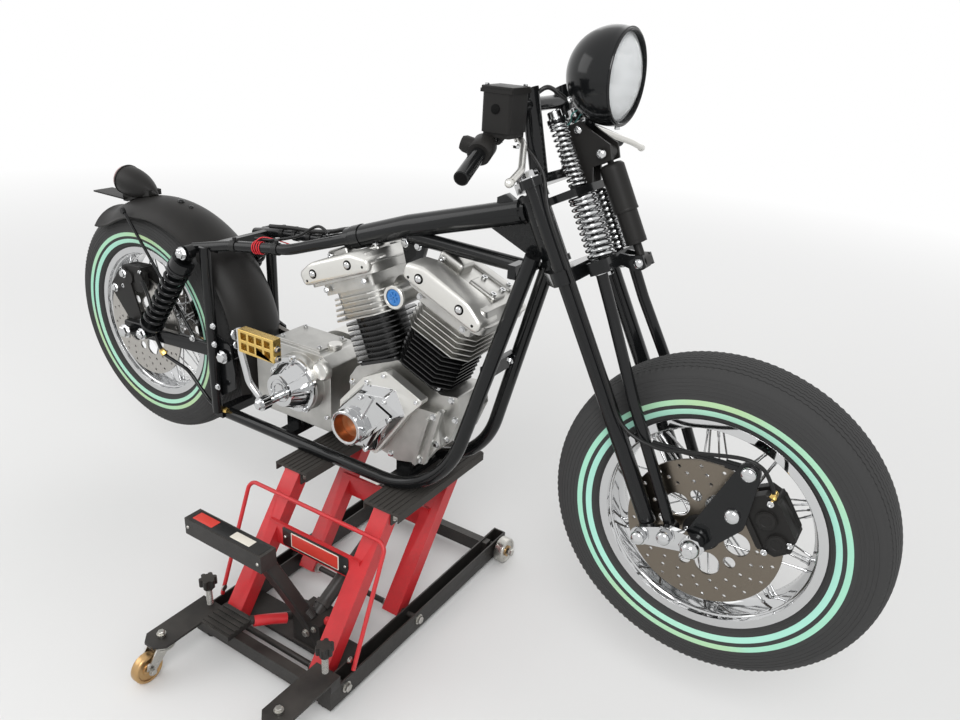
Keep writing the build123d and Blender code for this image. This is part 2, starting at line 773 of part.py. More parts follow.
for side, lean in (("rear", -V_HALF), ("front", V_HALF)):
    inward = 1 if lean < 0 else -1
    across = cylinder_plane(lean)
    far_side = (CRANK_X - inward * V_GAP, CRANK_X + inward * 260)
    with BuildPart() as barrel:
        with BuildSketch(across.offset(BARREL_LOW)):
            Circle(BARREL_R)
        extrude(amount=BARREL_HIGH - BARREL_LOW)
        with BuildSketch(across.offset(BARREL_LOW)):
            RectangleRounded(2 * BARREL_R + 8, 2 * BARREL_R + 8, 20)
        extrude(amount=8)
        for number in range(int((BARREL_HIGH - BARREL_LOW - 12) / FIN_PITCH)):
            height = BARREL_LOW + 14 + number * FIN_PITCH
            fin(across.offset(height), FIN_HALF, FIN_HALF, FIN_CORNER)
        block(far_side, (-100, 100), (CRANK_Z - 20, CRANK_Z + 380), mode=Mode.SUBTRACT)
    finish(barrel.part, side + "_barrel")

    with BuildPart() as head:
        with BuildSketch(across.offset(BARREL_HIGH)):
            RectangleRounded(HEAD_L - 18, HEAD_W - 18, 24)
        extrude(amount=HEAD_TOP - BARREL_HIGH)
        with BuildSketch(across.offset(HEAD_TOP - 26)):
            RectangleRounded(HEAD_L, HEAD_W + 14, 10)
        extrude(amount=26)
        for number in range(5):
            height = BARREL_HIGH + number * FIN_PITCH
            grow = HEAD_FIN_OUT - number * 1.6
            fin(across.offset(height), FIN_HALF + grow, FIN_HALF + grow - 4, FIN_CORNER - 6, -inward * 4)
        block(far_side, (-120, 120), (CRANK_Z - 20, CRANK_Z + 480), mode=Mode.SUBTRACT)
        if side == "rear":
            # Intake manifold between the heads, its mouth to the right
            mouth = Vector(CRANK_X, 0, CRANK_Z + 315)
            rod(mouth + Vector(-42, 0, 0), mouth + Vector(-4, 0, 0), INTAKE_R)
            rod(mouth + Vector(0, 20, 0), mouth + Vector(0, INTAKE_FACE, 0), INTAKE_R)
            rod(mouth + Vector(0, -10, 0), mouth + Vector(0, INTAKE_FACE - 1, 0), INTAKE_BORE_R, mode=Mode.SUBTRACT)
    finish(head.part, side + "_head")

    with BuildPart() as cover:
        with BuildSketch(across.offset(HEAD_TOP)):
            RectangleRounded(COVER_L, COVER_W, 26)
        extrude(amount=COVER_BAND)
        with BuildSketch(across.offset(HEAD_TOP + COVER_BAND)):
            RectangleRounded(COVER_L - 6, COVER_W - 6, 24)
        extrude(amount=COVER_TOP - HEAD_TOP - COVER_BAND, taper=32)
        with BuildSketch(across.offset(HEAD_TOP + COVER_BAND - 3)):
            RectangleRounded(COVER_L + 6, COVER_W + 6, 28)
        extrude(amount=4)
        block(far_side, (-120, 120), (CRANK_Z - 20, CRANK_Z + 480), mode=Mode.SUBTRACT)
    finish(cover.part, side + "_rocker_box")


# Gearbox, kick starter and primary drive
with BuildPart() as gearbox:
    plate(
        [
            (GEARBOX_X - 157, GEARBOX_LOW + 20),
            (GEARBOX_X - 157, GEARBOX_Z + 50),
            (GEARBOX_X - 110, GEARBOX_Z + 83),
            (GEARBOX_X + 70, GEARBOX_Z + 83),
            (GEARBOX_X + 95, GEARBOX_Z + 60),
            (GEARBOX_X + 95, GEARBOX_LOW),
            (GEARBOX_X - 130, GEARBOX_LOW),
        ],
        -62,
        64,
        corner=9,
    )
    # Round side cover's seat and the ribbed lid on top
    rod(Vector(GEARBOX_X, -60, GEARBOX_Z), Vector(GEARBOX_X, GEARBOX_FACE, GEARBOX_Z), KICK_COVER_R + 8)
    block((GEARBOX_X - 90, GEARBOX_X + 50), (-50, 50), (GEARBOX_Z + 82, GEARBOX_Z + 90))
    rod(
        Vector(SPROCKET_X, 60, SPROCKET_Z),
        Vector(SPROCKET_X, CHAIN_Y + SPROCKET_T / 2, SPROCKET_Z),
        14,
    )
    rod(
        Vector(SPROCKET_X, CHAIN_Y - SPROCKET_T / 2, SPROCKET_Z),
        Vector(SPROCKET_X, CHAIN_Y + SPROCKET_T / 2, SPROCKET_Z),
        FRONT_SPROCKET_R - CHAIN_H / 2 - SPROCKET_GAP,
    )
finish(gearbox.part, "gearbox")

with BuildPart() as kick_cover:
    with BuildSketch(Plane.XZ.offset(-GEARBOX_FACE)):
        with Locations((GEARBOX_X, GEARBOX_Z)):
            Circle(KICK_COVER_R + 4)
            with PolarLocations(KICK_COVER_R, 5, start_angle=18):
                Circle(10)
    extrude(amount=8)
    with BuildSketch(Plane.XZ.offset(8 - GEARBOX_FACE)):
        with Locations((GEARBOX_X, GEARBOX_Z)):
            Circle(KICK_COVER_R - 6)
    extrude(amount=KICK_COVER_T - 8, taper=24)
    # Radial ribs down the tapered side
    for number in range(KICK_RIBS):
        angle = radians(360 / KICK_RIBS * number)
        outward = Vector(cos(angle), 0, sin(angle))
        hub = Vector(GEARBOX_X, GEARBOX_FACE - KICK_COVER_T + 4, GEARBOX_Z)
        rod(hub + outward * 30, hub + outward * (KICK_COVER_R - 6) + Vector(0, KICK_COVER_T - 12, 0), 4)
    rod(
        Vector(KICK_X, GEARBOX_FACE - KICK_COVER_T + 2, KICK_Z),
        Vector(KICK_X, KICK_Y - 4 + SEAT, KICK_Z),
        KICK_SHAFT_R,
    )
finish(kick_cover.part, "kick_cover")

with BuildPart() as kick_arm:
    rod(Vector(KICK_X, KICK_Y + 10, KICK_Z), Vector(KICK_X, KICK_Y - 14, KICK_Z), 17)
    bent_tube(
        [
            (KICK_X - 4, KICK_Y - 2, KICK_Z + 4),
            (KICK_X - 44, KICK_Y - 4, KICK_Z + 42),
            (KICK_TOP_X, KICK_Y - 12, KICK_TOP_Z - PEDAL_H / 2 - 10),
            (KICK_TOP_X, KICK_Y - 14, KICK_TOP_Z + PEDAL_H / 2 - 6),
        ],
        [30, 20],
        KICK_ARM_R,
    )
    rod(
        Vector(KICK_X, KICK_Y + 12, KICK_Z),
        Vector(KICK_X, KICK_Y - 4, KICK_Z),
        KICK_SHAFT_R + SEAT,
        mode=Mode.SUBTRACT,
    )
finish(kick_arm.part, "kick_arm")

with BuildPart() as kick_pedal:
    pedal_x = KICK_TOP_X + KICK_ARM_R + SEAT
    pedal_y = KICK_Y - 14
    block(
        (pedal_x, pedal_x + PEDAL_L),
        (pedal_y - PEDAL_T / 2, pedal_y + PEDAL_T / 2),
        (KICK_TOP_Z - PEDAL_H / 2, KICK_TOP_Z + PEDAL_H / 2),
    )
    # Two rows of square windows right through the block
    pitch = (PEDAL_L - 12) / PEDAL_SLOTS
    for number in range(PEDAL_SLOTS):
        low = pedal_x + 8 + number * pitch
        for z in (KICK_TOP_Z - PEDAL_H / 2 + 7, KICK_TOP_Z + 4):
            block(
                (low, low + pitch - 7),
                (pedal_y - PEDAL_T, pedal_y + PEDAL_T),
                (z, z + PEDAL_H / 2 - 11),
                mode=Mode.SUBTRACT,
            )
finish(kick_pedal.part, "kick_pedal")

with BuildPart() as primary:
    hull_plate(
        [
            (GEARBOX_X, CRANK_Z + 4, PRIMARY_REAR_R),
            (CRANK_X, CRANK_Z, PRIMARY_FRONT_R),
        ],
        PRIMARY_Y,
        PRIMARY_Y + PRIMARY_T - 10,
    )
    hull_plate(
        [
            (GEARBOX_X, CRANK_Z + 4, PRIMARY_REAR_R - 14),
            (CRANK_X, CRANK_Z, PRIMARY_FRONT_R - 14),
        ],
        PRIMARY_Y + PRIMARY_T - 11,
        PRIMARY_Y + PRIMARY_T,
    )
    rod(
        Vector(GEARBOX_X, PRIMARY_Y + PRIMARY_T - 1, CRANK_Z + 4),
        Vector(GEARBOX_X, PRIMARY_Y + PRIMARY_T + 6, CRANK_Z + 4),
        CLUTCH_LID_R,
    )
    block((CRANK_X - 140, CRANK_X + 30), (CASE_HALF_W, PRIMARY_Y), (CRANK_Z - 70, CRANK_Z + 70))
finish(primary.part, "primary_cover")


def chain_outline(grow):
    """Outline round the two sprockets, outside their pitch circles by a margin."""
    big = REAR_SPROCKET_R + grow
    small = FRONT_SPROCKET_R + grow
    span = hypot(SPROCKET_X - REAR_X, SPROCKET_Z - AXLE_Z)
    turn = atan2(SPROCKET_Z - AXLE_Z, SPROCKET_X - REAR_X)
    open_angle = pi / 2 - (big - small) / span
    points = []
    for side in (1, -1):
        angle = turn + side * open_angle
        outward = Vector(cos(angle), 0, sin(angle))
        points.append(Vector(REAR_X, 0, AXLE_Z) + outward * big)
        points.append(Vector(SPROCKET_X, 0, SPROCKET_Z) + outward * small)
    back = Vector(REAR_X - big * cos(turn), 0, AXLE_Z - big * sin(turn))
    nose = Vector(SPROCKET_X + small * cos(turn), 0, SPROCKET_Z + small * sin(turn))
    return points, back, nose


def loop_face(grow):
    """Closed face inside the chain outline, drawn across the wheel."""
    (rear_top, front_top, rear_low, front_low), back, nose = chain_outline(grow)
    edges = [
        Edge.make_line(rear_top, front_top),
        Edge.make_three_point_arc(front_top, nose, front_low),
        Edge.make_line(front_low, rear_low),
        Edge.make_three_point_arc(rear_low, back, rear_top),
    ]
    return Face(Wire(edges))


with BuildPart() as chain:
    outer = loop_face(CHAIN_H / 2).moved(Location((0, CHAIN_Y - CHAIN_W / 2, 0)))
    inner = loop_face(-CHAIN_H / 2).moved(Location((0, CHAIN_Y - CHAIN_W / 2, 0)))
    extrude(outer, amount=CHAIN_W, dir=(0, 1, 0))
    extrude(inner, amount=CHAIN_W, dir=(0, 1, 0), mode=Mode.SUBTRACT)
finish(chain.part, "drive_chain")

with BuildPart() as rear_sprocket:
    with BuildSketch(Plane.XZ.offset(-CHAIN_Y - SPROCKET_T / 2)):
        with Locations((REAR_X, AXLE_Z)):
            Circle(REAR_SPROCKET_R - CHAIN_H / 2 - SPROCKET_GAP)
            Circle(AXLE_R + 4, mode=Mode.SUBTRACT)
            with PolarLocations(64, 6):
                Circle(15, mode=Mode.SUBTRACT)
    extrude(amount=SPROCKET_T)
    with BuildSketch(Plane.XZ.offset(-HUB_W / 2 - SEAT)):
        with Locations((REAR_X, AXLE_Z)):
            Circle(44)
            Circle(AXLE_R + 4, mode=Mode.SUBTRACT)
    extrude(amount=HUB_W / 2 - CHAIN_Y)
finish(rear_sprocket.part, "rear_sprocket")


# Fork, built along the steering axis
def leg_eye(eye, y_in, y_out, radius):
    """Eye at the foot of a fork leg, bored for its rocker pin."""
    v, u = eye
    rod(fork_point(v, y_in, u), fork_point(v, y_out, u), radius)
    rod(fork_point(v, y_in, u), fork_point(v, y_out, u), ROCKER_PIN_R + SEAT, mode=Mode.SUBTRACT)


def fork_block(v, y, u, corner=4):
    """Bridge with rounded corners: a rectangle across the steering axis, between two heights."""
    with BuildSketch(FORK.offset(u[0])) as section:
        with Locations(((v[0] + v[1]) / 2, (y[0] + y[1]) / 2)):
            RectangleRounded(v[1] - v[0], y[1] - y[0], corner)
    extrude(section.sketch, amount=u[1] - u[0])


with BuildPart() as fork:
    rod(fork_point(0, 0, BRIDGE_LOW), fork_point(0, 0, CROWN_HIGH + CROWN_T), STEM_R)
    rod(
        fork_point(0, 0, CROWN_HIGH + CROWN_T - 1),
        fork_point(0, 0, CROWN_HIGH + CROWN_T + STEM_NUT_H),
        STEM_NUT_R,
    )
    for y in (-RIGID_Y, RIGID_Y):
        rod(fork_point(RIGID_V, y, RIGID_EYE[1] + 13), fork_point(RIGID_V, y, CROWN_HIGH + CROWN_T), RIGID_R)
    for low, thick in ((BRIDGE_LOW, 26), (CROWN_HIGH, CROWN_T)):
        with BuildSketch(FORK.offset(low)) as crown:
            with Locations((RIGID_V, RIGID_Y), (RIGID_V, -RIGID_Y)):
                Circle(RIGID_R + 8)
            Circle(HEAD_CUP_R)
            make_hull()
        extrude(crown.sketch, amount=thick)
    fork_block(
        (SPRING_ROD_V - 42, SPRING_ROD_V + 18),
        (-RIGID_Y, RIGID_Y),
        (BRIDGE_MID - BRIDGE_T / 2, BRIDGE_MID + BRIDGE_T / 2),
    )
    for y in (-SPRING_ROD_Y, SPRING_ROD_Y):
        rod(
            fork_point(SPRING_ROD_V, y, BRIDGE_MID - BRIDGE_T),
            fork_point(SPRING_ROD_V, y, BRIDGE_MID + BRIDGE_T),
            SPRING_ROD_R + RUNNING,
            mode=Mode.SUBTRACT,
        )
    for y in (-1, 1):
        leg_eye(RIGID_EYE, y * (RIGID_Y - 10), y * (RIGID_Y + RIGID_R), 14)
finish(fork.part, "fork_rigid_legs")

with BuildPart() as spring_legs:
    for y in (-1, 1):
        bent_tube(
            [
                fork_point(SPRING_ROD_V + 5, y * 67, SPRING_BRIDGE_HIGH - 2),
                fork_point(SPRING_ROD_V, y * 72, BRIDGE_LOW - 84),
                fork_point(SPRING_ROD_V - 4, y * SPRING_LEG_Y, BRIDGE_LOW - 244),
                fork_point(SPRING_EYE[0], y * SPRING_LEG_Y, SPRING_EYE[1] + 11),
            ],
            [200, 300],
            SPRING_LEG_R,
        )
        leg_eye(SPRING_EYE, y * (SPRING_LEG_Y - 10), y * (RIGID_Y + RIGID_R), 13)
    fork_block(
        (SPRING_ROD_V - 15, SPRING_ROD_V + 27),
        (-83, 83),
        (SPRING_BRIDGE_HIGH - 24, SPRING_BRIDGE_HIGH),
        corner=8,
    )
    for y in (-SPRING_ROD_Y, SPRING_ROD_Y):
        rod(
            fork_point(SPRING_ROD_V, y, SPRING_BRIDGE_HIGH - 4),
            fork_point(SPRING_ROD_V, y, SPRING_TOP + 4),
            SPRING_ROD_R,
        )
        rod(
            fork_point(SPRING_ROD_V, y, SPRING_TOP),
            fork_point(SPRING_ROD_V, y, SPRING_TOP + 5),
            UPPER_SPRING_R,
        )
        rod(
            fork_point(SPRING_ROD_V, y, SPRING_TOP + 4),
            fork_point(SPRING_ROD_V, y, SPRING_TOP + ROD_CAP_H),
            SPRING_ROD_R + 5,
        )
    for y_low in (-CHEEK_Y, CHEEK_Y - CHEEK_T):
        fork_plate(
            [
                (SPRING_ROD_V + 21, BRIDGE_LOW - 2),
                (SPRING_ROD_V + 21, SPRING_BRIDGE_HIGH),
                (DAMPER_V - 12, DAMPER_LOW + 19),
                (DAMPER_V + 12, DAMPER_LOW + 11),
                (DAMPER_V + 12, DAMPER_LOW - 11),
                (DAMPER_V - 12, DAMPER_LOW - 11),
            ],
            y_low,
            y_low + CHEEK_T,
        )
    rod(fork_point(DAMPER_V, -CHEEK_Y, DAMPER_LOW), fork_point(DAMPER_V, CHEEK_Y, DAMPER_LOW), DAMPER_PIN_R)
finish(spring_legs.part, "fork_spring_legs")

with BuildPart() as springs:
    for y in (-SPRING_ROD_Y, SPRING_ROD_Y):
        coil(
            fork_point(SPRING_ROD_V, y, SPRING_BRIDGE_HIGH + SEAT),
            fork_point(SPRING_ROD_V, y, BRIDGE_MID - BRIDGE_T / 2 - SEAT),
            LOWER_SPRING_R,
            LOWER_WIRE_R,
            LOWER_TURNS,
        )
        coil(
            fork_point(SPRING_ROD_V, y, BRIDGE_MID + BRIDGE_T / 2 + SEAT),
            fork_point(SPRING_ROD_V, y, SPRING_TOP - SEAT),
            UPPER_SPRING_R,
            UPPER_WIRE_R,
            UPPER_TURNS,
        )
finish(springs.part, "fork_springs")

with BuildPart() as damper:
    # Body, sleeve and rods down the damper: (low end, high end, radius)
    for low, high, radius in (
        (-60, 24, DAMPER_R),
        (24, 28, DAMPER_R - 4),
        (-120, -59, DAMPER_SLEEVE_R),
        (20, DAMPER_HIGH, 6),
        (DAMPER_LOW, -112, 8),
    ):
        rod(fork_point(DAMPER_V, 0, low), fork_point(DAMPER_V, 0, high), radius)
    for u in (DAMPER_HIGH, DAMPER_LOW):
        rod(fork_point(DAMPER_V, -DAMPER_EYE_R, u), fork_point(DAMPER_V, DAMPER_EYE_R, u), DAMPER_EYE_R)
    for u in (DAMPER_HIGH, DAMPER_LOW):
        rod(
            fork_point(DAMPER_V, -DAMPER_EYE_R - 1, u),
            fork_point(DAMPER_V, DAMPER_EYE_R + 1, u),
            DAMPER_PIN_R + SEAT,
            mode=Mode.SUBTRACT,
        )
finish(damper.part, "fork_damper")

with BuildPart() as damper_bracket:
    foot = BRIDGE_MID + BRIDGE_T / 2
    for y_low in (-CHEEK_Y, CHEEK_Y - CHEEK_T):
        fork_plate(
            [
                (SPRING_ROD_V + 7, foot),
                (SPRING_ROD_V + 18, foot),
                (DAMPER_V - 27, DAMPER_HIGH - 16),
                (DAMPER_V + 12, DAMPER_HIGH - 16),
                (DAMPER_V + 18, DAMPER_HIGH + 10),
                (DAMPER_V - 6, DAMPER_HIGH + 42),
                (DAMPER_V - 22, DAMPER_HIGH + 68),
                (SPRING_ROD_V + 7, DAMPER_HIGH + 68),
            ],
            y_low,
            y_low + CHEEK_T,
        )
    fork_plate(
        [
            (SPRING_ROD_V + 7, foot),
            (SPRING_ROD_V + 13, foot),
            (SPRING_ROD_V + 13, foot + 100),
            (SPRING_ROD_V + 7, foot + 100),
        ],
        -CHEEK_Y,
        CHEEK_Y,
    )
    rod(
        fork_point(DAMPER_V, -CHEEK_Y - 5, DAMPER_HIGH),
        fork_point(DAMPER_V, CHEEK_Y + 5, DAMPER_HIGH),
        DAMPER_PIN_R,
    )
finish(damper_bracket.part, "damper_bracket")

with BuildPart() as rockers:
    for y in (-1, 1):
        inner_face = RIGID_Y + RIGID_R + ROCKER_GAP
        with BuildSketch(FORK_SIDE.offset(-y * inner_face)) as link:
            with Locations(RIGID_EYE, SPRING_EYE, (AXLE_V, AXLE_U)):
                Circle(ROCKER_R)
            make_hull()
        extrude(link.sketch, amount=-y * ROCKER_T)
        for v, u in (RIGID_EYE, SPRING_EYE):
            rod(
                fork_point(v, y * (RIGID_Y - 12), u),
                fork_point(v, y * (inner_face + ROCKER_T + 10), u),
                ROCKER_PIN_R,
            )
    rod(
        Vector(FRONT_X, -RIGID_Y - 60, AXLE_Z),
        Vector(FRONT_X, RIGID_Y + 60, AXLE_Z),
        AXLE_R,
    )
finish(rockers.part, "fork_rockers_and_axle")


# Handlebar and what it carries; the right half of the bar, from its end inwards
BAR_END = Vector(HEAD_X + 22, -306, BAR_Z - 94)
BAR_KNEE = Vector(HEAD_X - 10, -185, BAR_Z - 55)
BAR_TOP = Vector(HEAD_X, -100, BAR_Z)


def left_of(point):
    """The same point on the other side of the motorcycle."""
    return Vector(point.X, -point.Y, point.Z)


with BuildPart() as handlebar:
    bent_tube(
        [BAR_END, BAR_KNEE, BAR_TOP, left_of(BAR_TOP), left_of(BAR_KNEE), left_of(BAR_END)],
        [50, 50, 50, 50],
        BAR_R,
    )
    for y in (-RISER_Y, RISER_Y):
        foot = fork_point(RIGID_V - 1, y, CROWN_HIGH + CROWN_T)
        head = fork_point(RIGID_V + 37, y, RISER_TOP)
        rise = (head - foot).normalized()
        with BuildSketch(FORK.offset(CROWN_HIGH + CROWN_T)) as section:
            with Locations((RIGID_V - 1, y)):
                Circle(RISER_R)
        extrude(section.sketch, amount=(head - foot).length, dir=rise)
        rod(head - rise * 62, head + rise * 20, RISER_R - RISER_WALL, mode=Mode.SUBTRACT)
finish(handlebar.part, "handlebar")

with BuildPart() as master:
    # Reservoir with its lid, and the clamp round the bar
    reservoir = (HEAD_X - 19, HEAD_X + 37)
    block(reservoir, (-194, -134), (BAR_Z - 36, BAR_Z + 28))
    fillet(master.edges().filter_by(Axis.Z), 7)
    block((reservoir[0] - 2, reservoir[1] + 2), (-196, -132), (BAR_Z + 27, BAR_Z + 33))
    rod(BAR_KNEE + (BAR_TOP - BAR_KNEE) * 0.18, BAR_KNEE + (BAR_TOP - BAR_KNEE) * 0.5, BAR_R + 6)
    rod(BAR_KNEE, BAR_TOP, BAR_R + SEAT, mode=Mode.SUBTRACT)
finish(master.part, "master_cylinder")

with BuildPart() as lamp:
    # Bowl: a round shell open at the front, with a rim round the glass
    bowl_r = (LAMP_DEPTH**2 + LAMP_R**2) / (2 * LAMP_DEPTH)
    with Locations((LAMP_X - LAMP_DEPTH + bowl_r, 0, LAMP_Z)):
        Sphere(bowl_r)
        Sphere(bowl_r - LAMP_WALL, mode=Mode.SUBTRACT)
    block((LAMP_X, LAMP_X + 200), (-200, 200), (LAMP_Z - 200, LAMP_Z + 200), mode=Mode.SUBTRACT)
    with BuildSketch(Plane(origin=(LAMP_X - LAMP_RIM_W / 2, 0, LAMP_Z), z_dir=(1, 0, 0))) as ring:
        Circle(LAMP_R)
        Circle(GLASS_R + SEAT, mode=Mode.SUBTRACT)
    extrude(ring.sketch, amount=LAMP_RIM_W)
    rod(Vector(LAMP_X - 50, 0, LAMP_Z - 74), fork_point(142, 0, 96), 10)
    rod(fork_point(142, CHEEK_T - CHEEK_Y, 104), fork_point(142, CHEEK_Y - CHEEK_T, 104), 5)
finish(lamp.part, "headlamp_bucket")

with BuildPart() as lens:
    # Glass: a disc cut to a shallow dome outside and to a smaller one inside
    dome_r = (GLASS_BULGE**2 + GLASS_R**2) / (2 * GLASS_BULGE)
    dome_x = LAMP_X + GLASS_BULGE - dome_r
    with BuildSketch(Plane.XZ) as half:
        with BuildLine():
            outer_turn = degrees(atan2(GLASS_R, LAMP_X - dome_x))
            outer = CenterArc((dome_x, LAMP_Z), dome_r, 0, outer_turn)
            inner = CenterArc((dome_x, LAMP_Z), dome_r - GLASS_T, 0, outer_turn)
            Line(outer @ 1, inner @ 1)
            Line(inner @ 0, outer @ 0)
        make_face()
    revolve(half.sketch, axis=Axis((0, 0, LAMP_Z), (1, 0, 0)))
finish(lens.part, "headlamp_lens")

with BuildPart() as levers:
    for y in (-1, 1):
        knee = BAR_KNEE if y < 0 else left_of(BAR_KNEE)
        top = BAR_TOP if y < 0 else left_of(BAR_TOP)
        perch = knee + (top - knee) * 0.69
        along_bar = (top - knee).normalized() * 12
        rod(perch - along_bar, perch + along_bar, BAR_R + 6)
        rod(perch, Vector(HEAD_X + 21, y * 130, BAR_Z - 52), 8)
        bent_tube(
            [
                (HEAD_X + 14, y * 124, BAR_Z - 44),
                (HEAD_X + 42, y * 150, BAR_Z - 56),
                (HEAD_X + 84, y * 226, BAR_Z - 82),
                (HEAD_X + 88, y * 262, BAR_Z - 94),
            ],
            [24, 40],
            6,
        )
        rod(knee, top, BAR_R + SEAT, mode=Mode.SUBTRACT)
    # Room for the reservoir on the right
    block((HEAD_X - 26, HEAD_X + 44), (-201, -127), (BAR_Z - 44, BAR_Z + 35), mode=Mode.SUBTRACT)
finish(levers.part, "levers")


# Brakes
def caliper(axle_x, turn, out_face):
    """Two halves astride the disc, joined beyond its edge, at an angle round the axle."""
    face = Plane(origin=(axle_x, 0, AXLE_Z), x_dir=(cos(radians(turn)), 0, sin(radians(turn))), z_dir=(0, -1, 0))
    half = [(100, -34), (124, -58), (156, -56), (172, -32), (172, 32), (156, 56), (124, 58), (100, 34)]
    bridge = [(DISC_R + DISC_CLEAR + 1, -44), (170, -40), (172, 0), (170, 40), (DISC_R + DISC_CLEAR + 1, 44)]
    inner_face = DISC_Y - DISC_CLEAR
    outer_face = DISC_Y + DISC_T + DISC_CLEAR
    outlined(face.offset(outer_face), half, out_face - outer_face, corner=5)
    outlined(face.offset(inner_face - CALIPER_IN), half, CALIPER_IN, corner=5)
    outlined(face.offset(inner_face - CALIPER_IN), bridge, out_face - inner_face + CALIPER_IN)
    with BuildSketch(face.offset(out_face - 1)) as pistons:
        with Locations((140, -34), (140, 12)):
            Circle(PISTON_R)
    extrude(pistons.sketch, amount=PISTON_H + 1)


with BuildPart() as front_brake:
    upper = (FRONT_X + 66, AXLE_Z + 167)
    hull_plate(
        [(FRONT_X, AXLE_Z, 24), (FRONT_X + 54, AXLE_Z + 67, 24), (*upper, 20)],
        -BRACKET_Y - BRACKET_T,
        -BRACKET_Y,
    )
    rod(
        Vector(FRONT_X, -BRACKET_Y + 1, AXLE_Z),
        Vector(FRONT_X, -BRACKET_Y - BRACKET_T - 1, AXLE_Z),
        AXLE_R + SEAT,
        mode=Mode.SUBTRACT,
    )
    # Reaction rod back to the spring leg, with its clevis
    rod(Vector(upper[0], -BRACKET_Y, upper[1]), Vector(upper[0], -86, upper[1]), 8)
    stay_end = Vector(FRONT_X - 112, -SPRING_LEG_Y, AXLE_Z + 159.5)
    stay_start = Vector(upper[0], -91, upper[1])
    rod(stay_start, stay_end, 5)
    rod(stay_start, stay_start + (stay_end - stay_start).normalized() * 44, 8)
finish(front_brake.part, "front_brake_bracket")

with BuildPart() as front_caliper:
    caliper(FRONT_X, FRONT_CALIPER_TURN, BRACKET_Y)
finish(front_caliper.part, "front_caliper")

with BuildPart() as rear_caliper:
    hull_plate(
        [(REAR_X, AXLE_Z, 22), (REAR_X - 44, AXLE_Z + 145, 18), (REAR_X - 89, AXLE_Z + 95, 18)],
        -REAR_BRACKET_Y - REAR_BRACKET_T,
        -REAR_BRACKET_Y,
    )
    caliper(REAR_X, REAR_CALIPER_TURN, REAR_BRACKET_Y)
    rod(
        Vector(REAR_X, -REAR_BRACKET_Y + 1, AXLE_Z),
        Vector(REAR_X, -REAR_BRACKET_Y - REAR_BRACKET_T - 1, AXLE_Z),
        AXLE_R + SEAT,
        mode=Mode.SUBTRACT,
    )
finish(rear_caliper.part, "rear_caliper")


# Tail lamp: half a teardrop turned about a line that leans with the fender
TAIL_SIDE = Plane(
    origin=(FENDER_X - 41, 0, AXLE_Z + FENDER_R - 1),
    x_dir=(-cos(radians(TAIL_LEAN)), 0, sin(radians(TAIL_LEAN))),
    z_dir=(0, 1, 0),
)
with BuildPart() as tail_lamp:
    with BuildSketch(TAIL_SIDE) as teardrop:
        with BuildLine():
            ThreePointArc((0, 0), (TAIL_LENGTH * 0.42, 34), (TAIL_LENGTH * 0.77, 40))
            ThreePointArc((TAIL_LENGTH * 0.77, 40), (TAIL_LENGTH * 0.95, 28), (TAIL_LENGTH, 0))
            Line((TAIL_LENGTH, 0), (0, 0))
        make_face()
    revolve(teardrop.sketch, axis=Axis(TAIL_SIDE.origin, TAIL_SIDE.x_dir))
    block(
        (FENDER_X - 170, FENDER_X - 55),
        (-20, 20),
        (AXLE_Z + FENDER_R - 34, AXLE_Z + FENDER_R + 11),
    )
    block((FENDER_X - 289, FENDER_X - 155), (-30, 30), (AXLE_Z + FENDER_R - 27, AXLE_Z + FENDER_R - 23))
    rod(
        Vector(FENDER_X, -FENDER_W, AXLE_Z),
        Vector(FENDER_X, FENDER_W, AXLE_Z),
        FENDER_R + SEAT,
        mode=Mode.SUBTRACT,
    )
finish(tail_lamp.part, "tail_lamp")

with BuildPart() as struts:
    for y in (-1, 1):
        rod(
            Vector(FENDER_X - 75, y * (FENDER_W / 2 + SEAT + STRUT_R), AXLE_Z + FENDER_R - 36),
            Vector(PIVOT_X - 125, y * 90, PIVOT_Z + 18.1),
            STRUT_R,
        )
finish(struts.part, "fender_struts")


# Lift
def rail_x(side):
    """Middle of a base rail along X, behind or ahead of the lift's middle."""
    return LIFT_X + side * LIFT_RAIL_DX


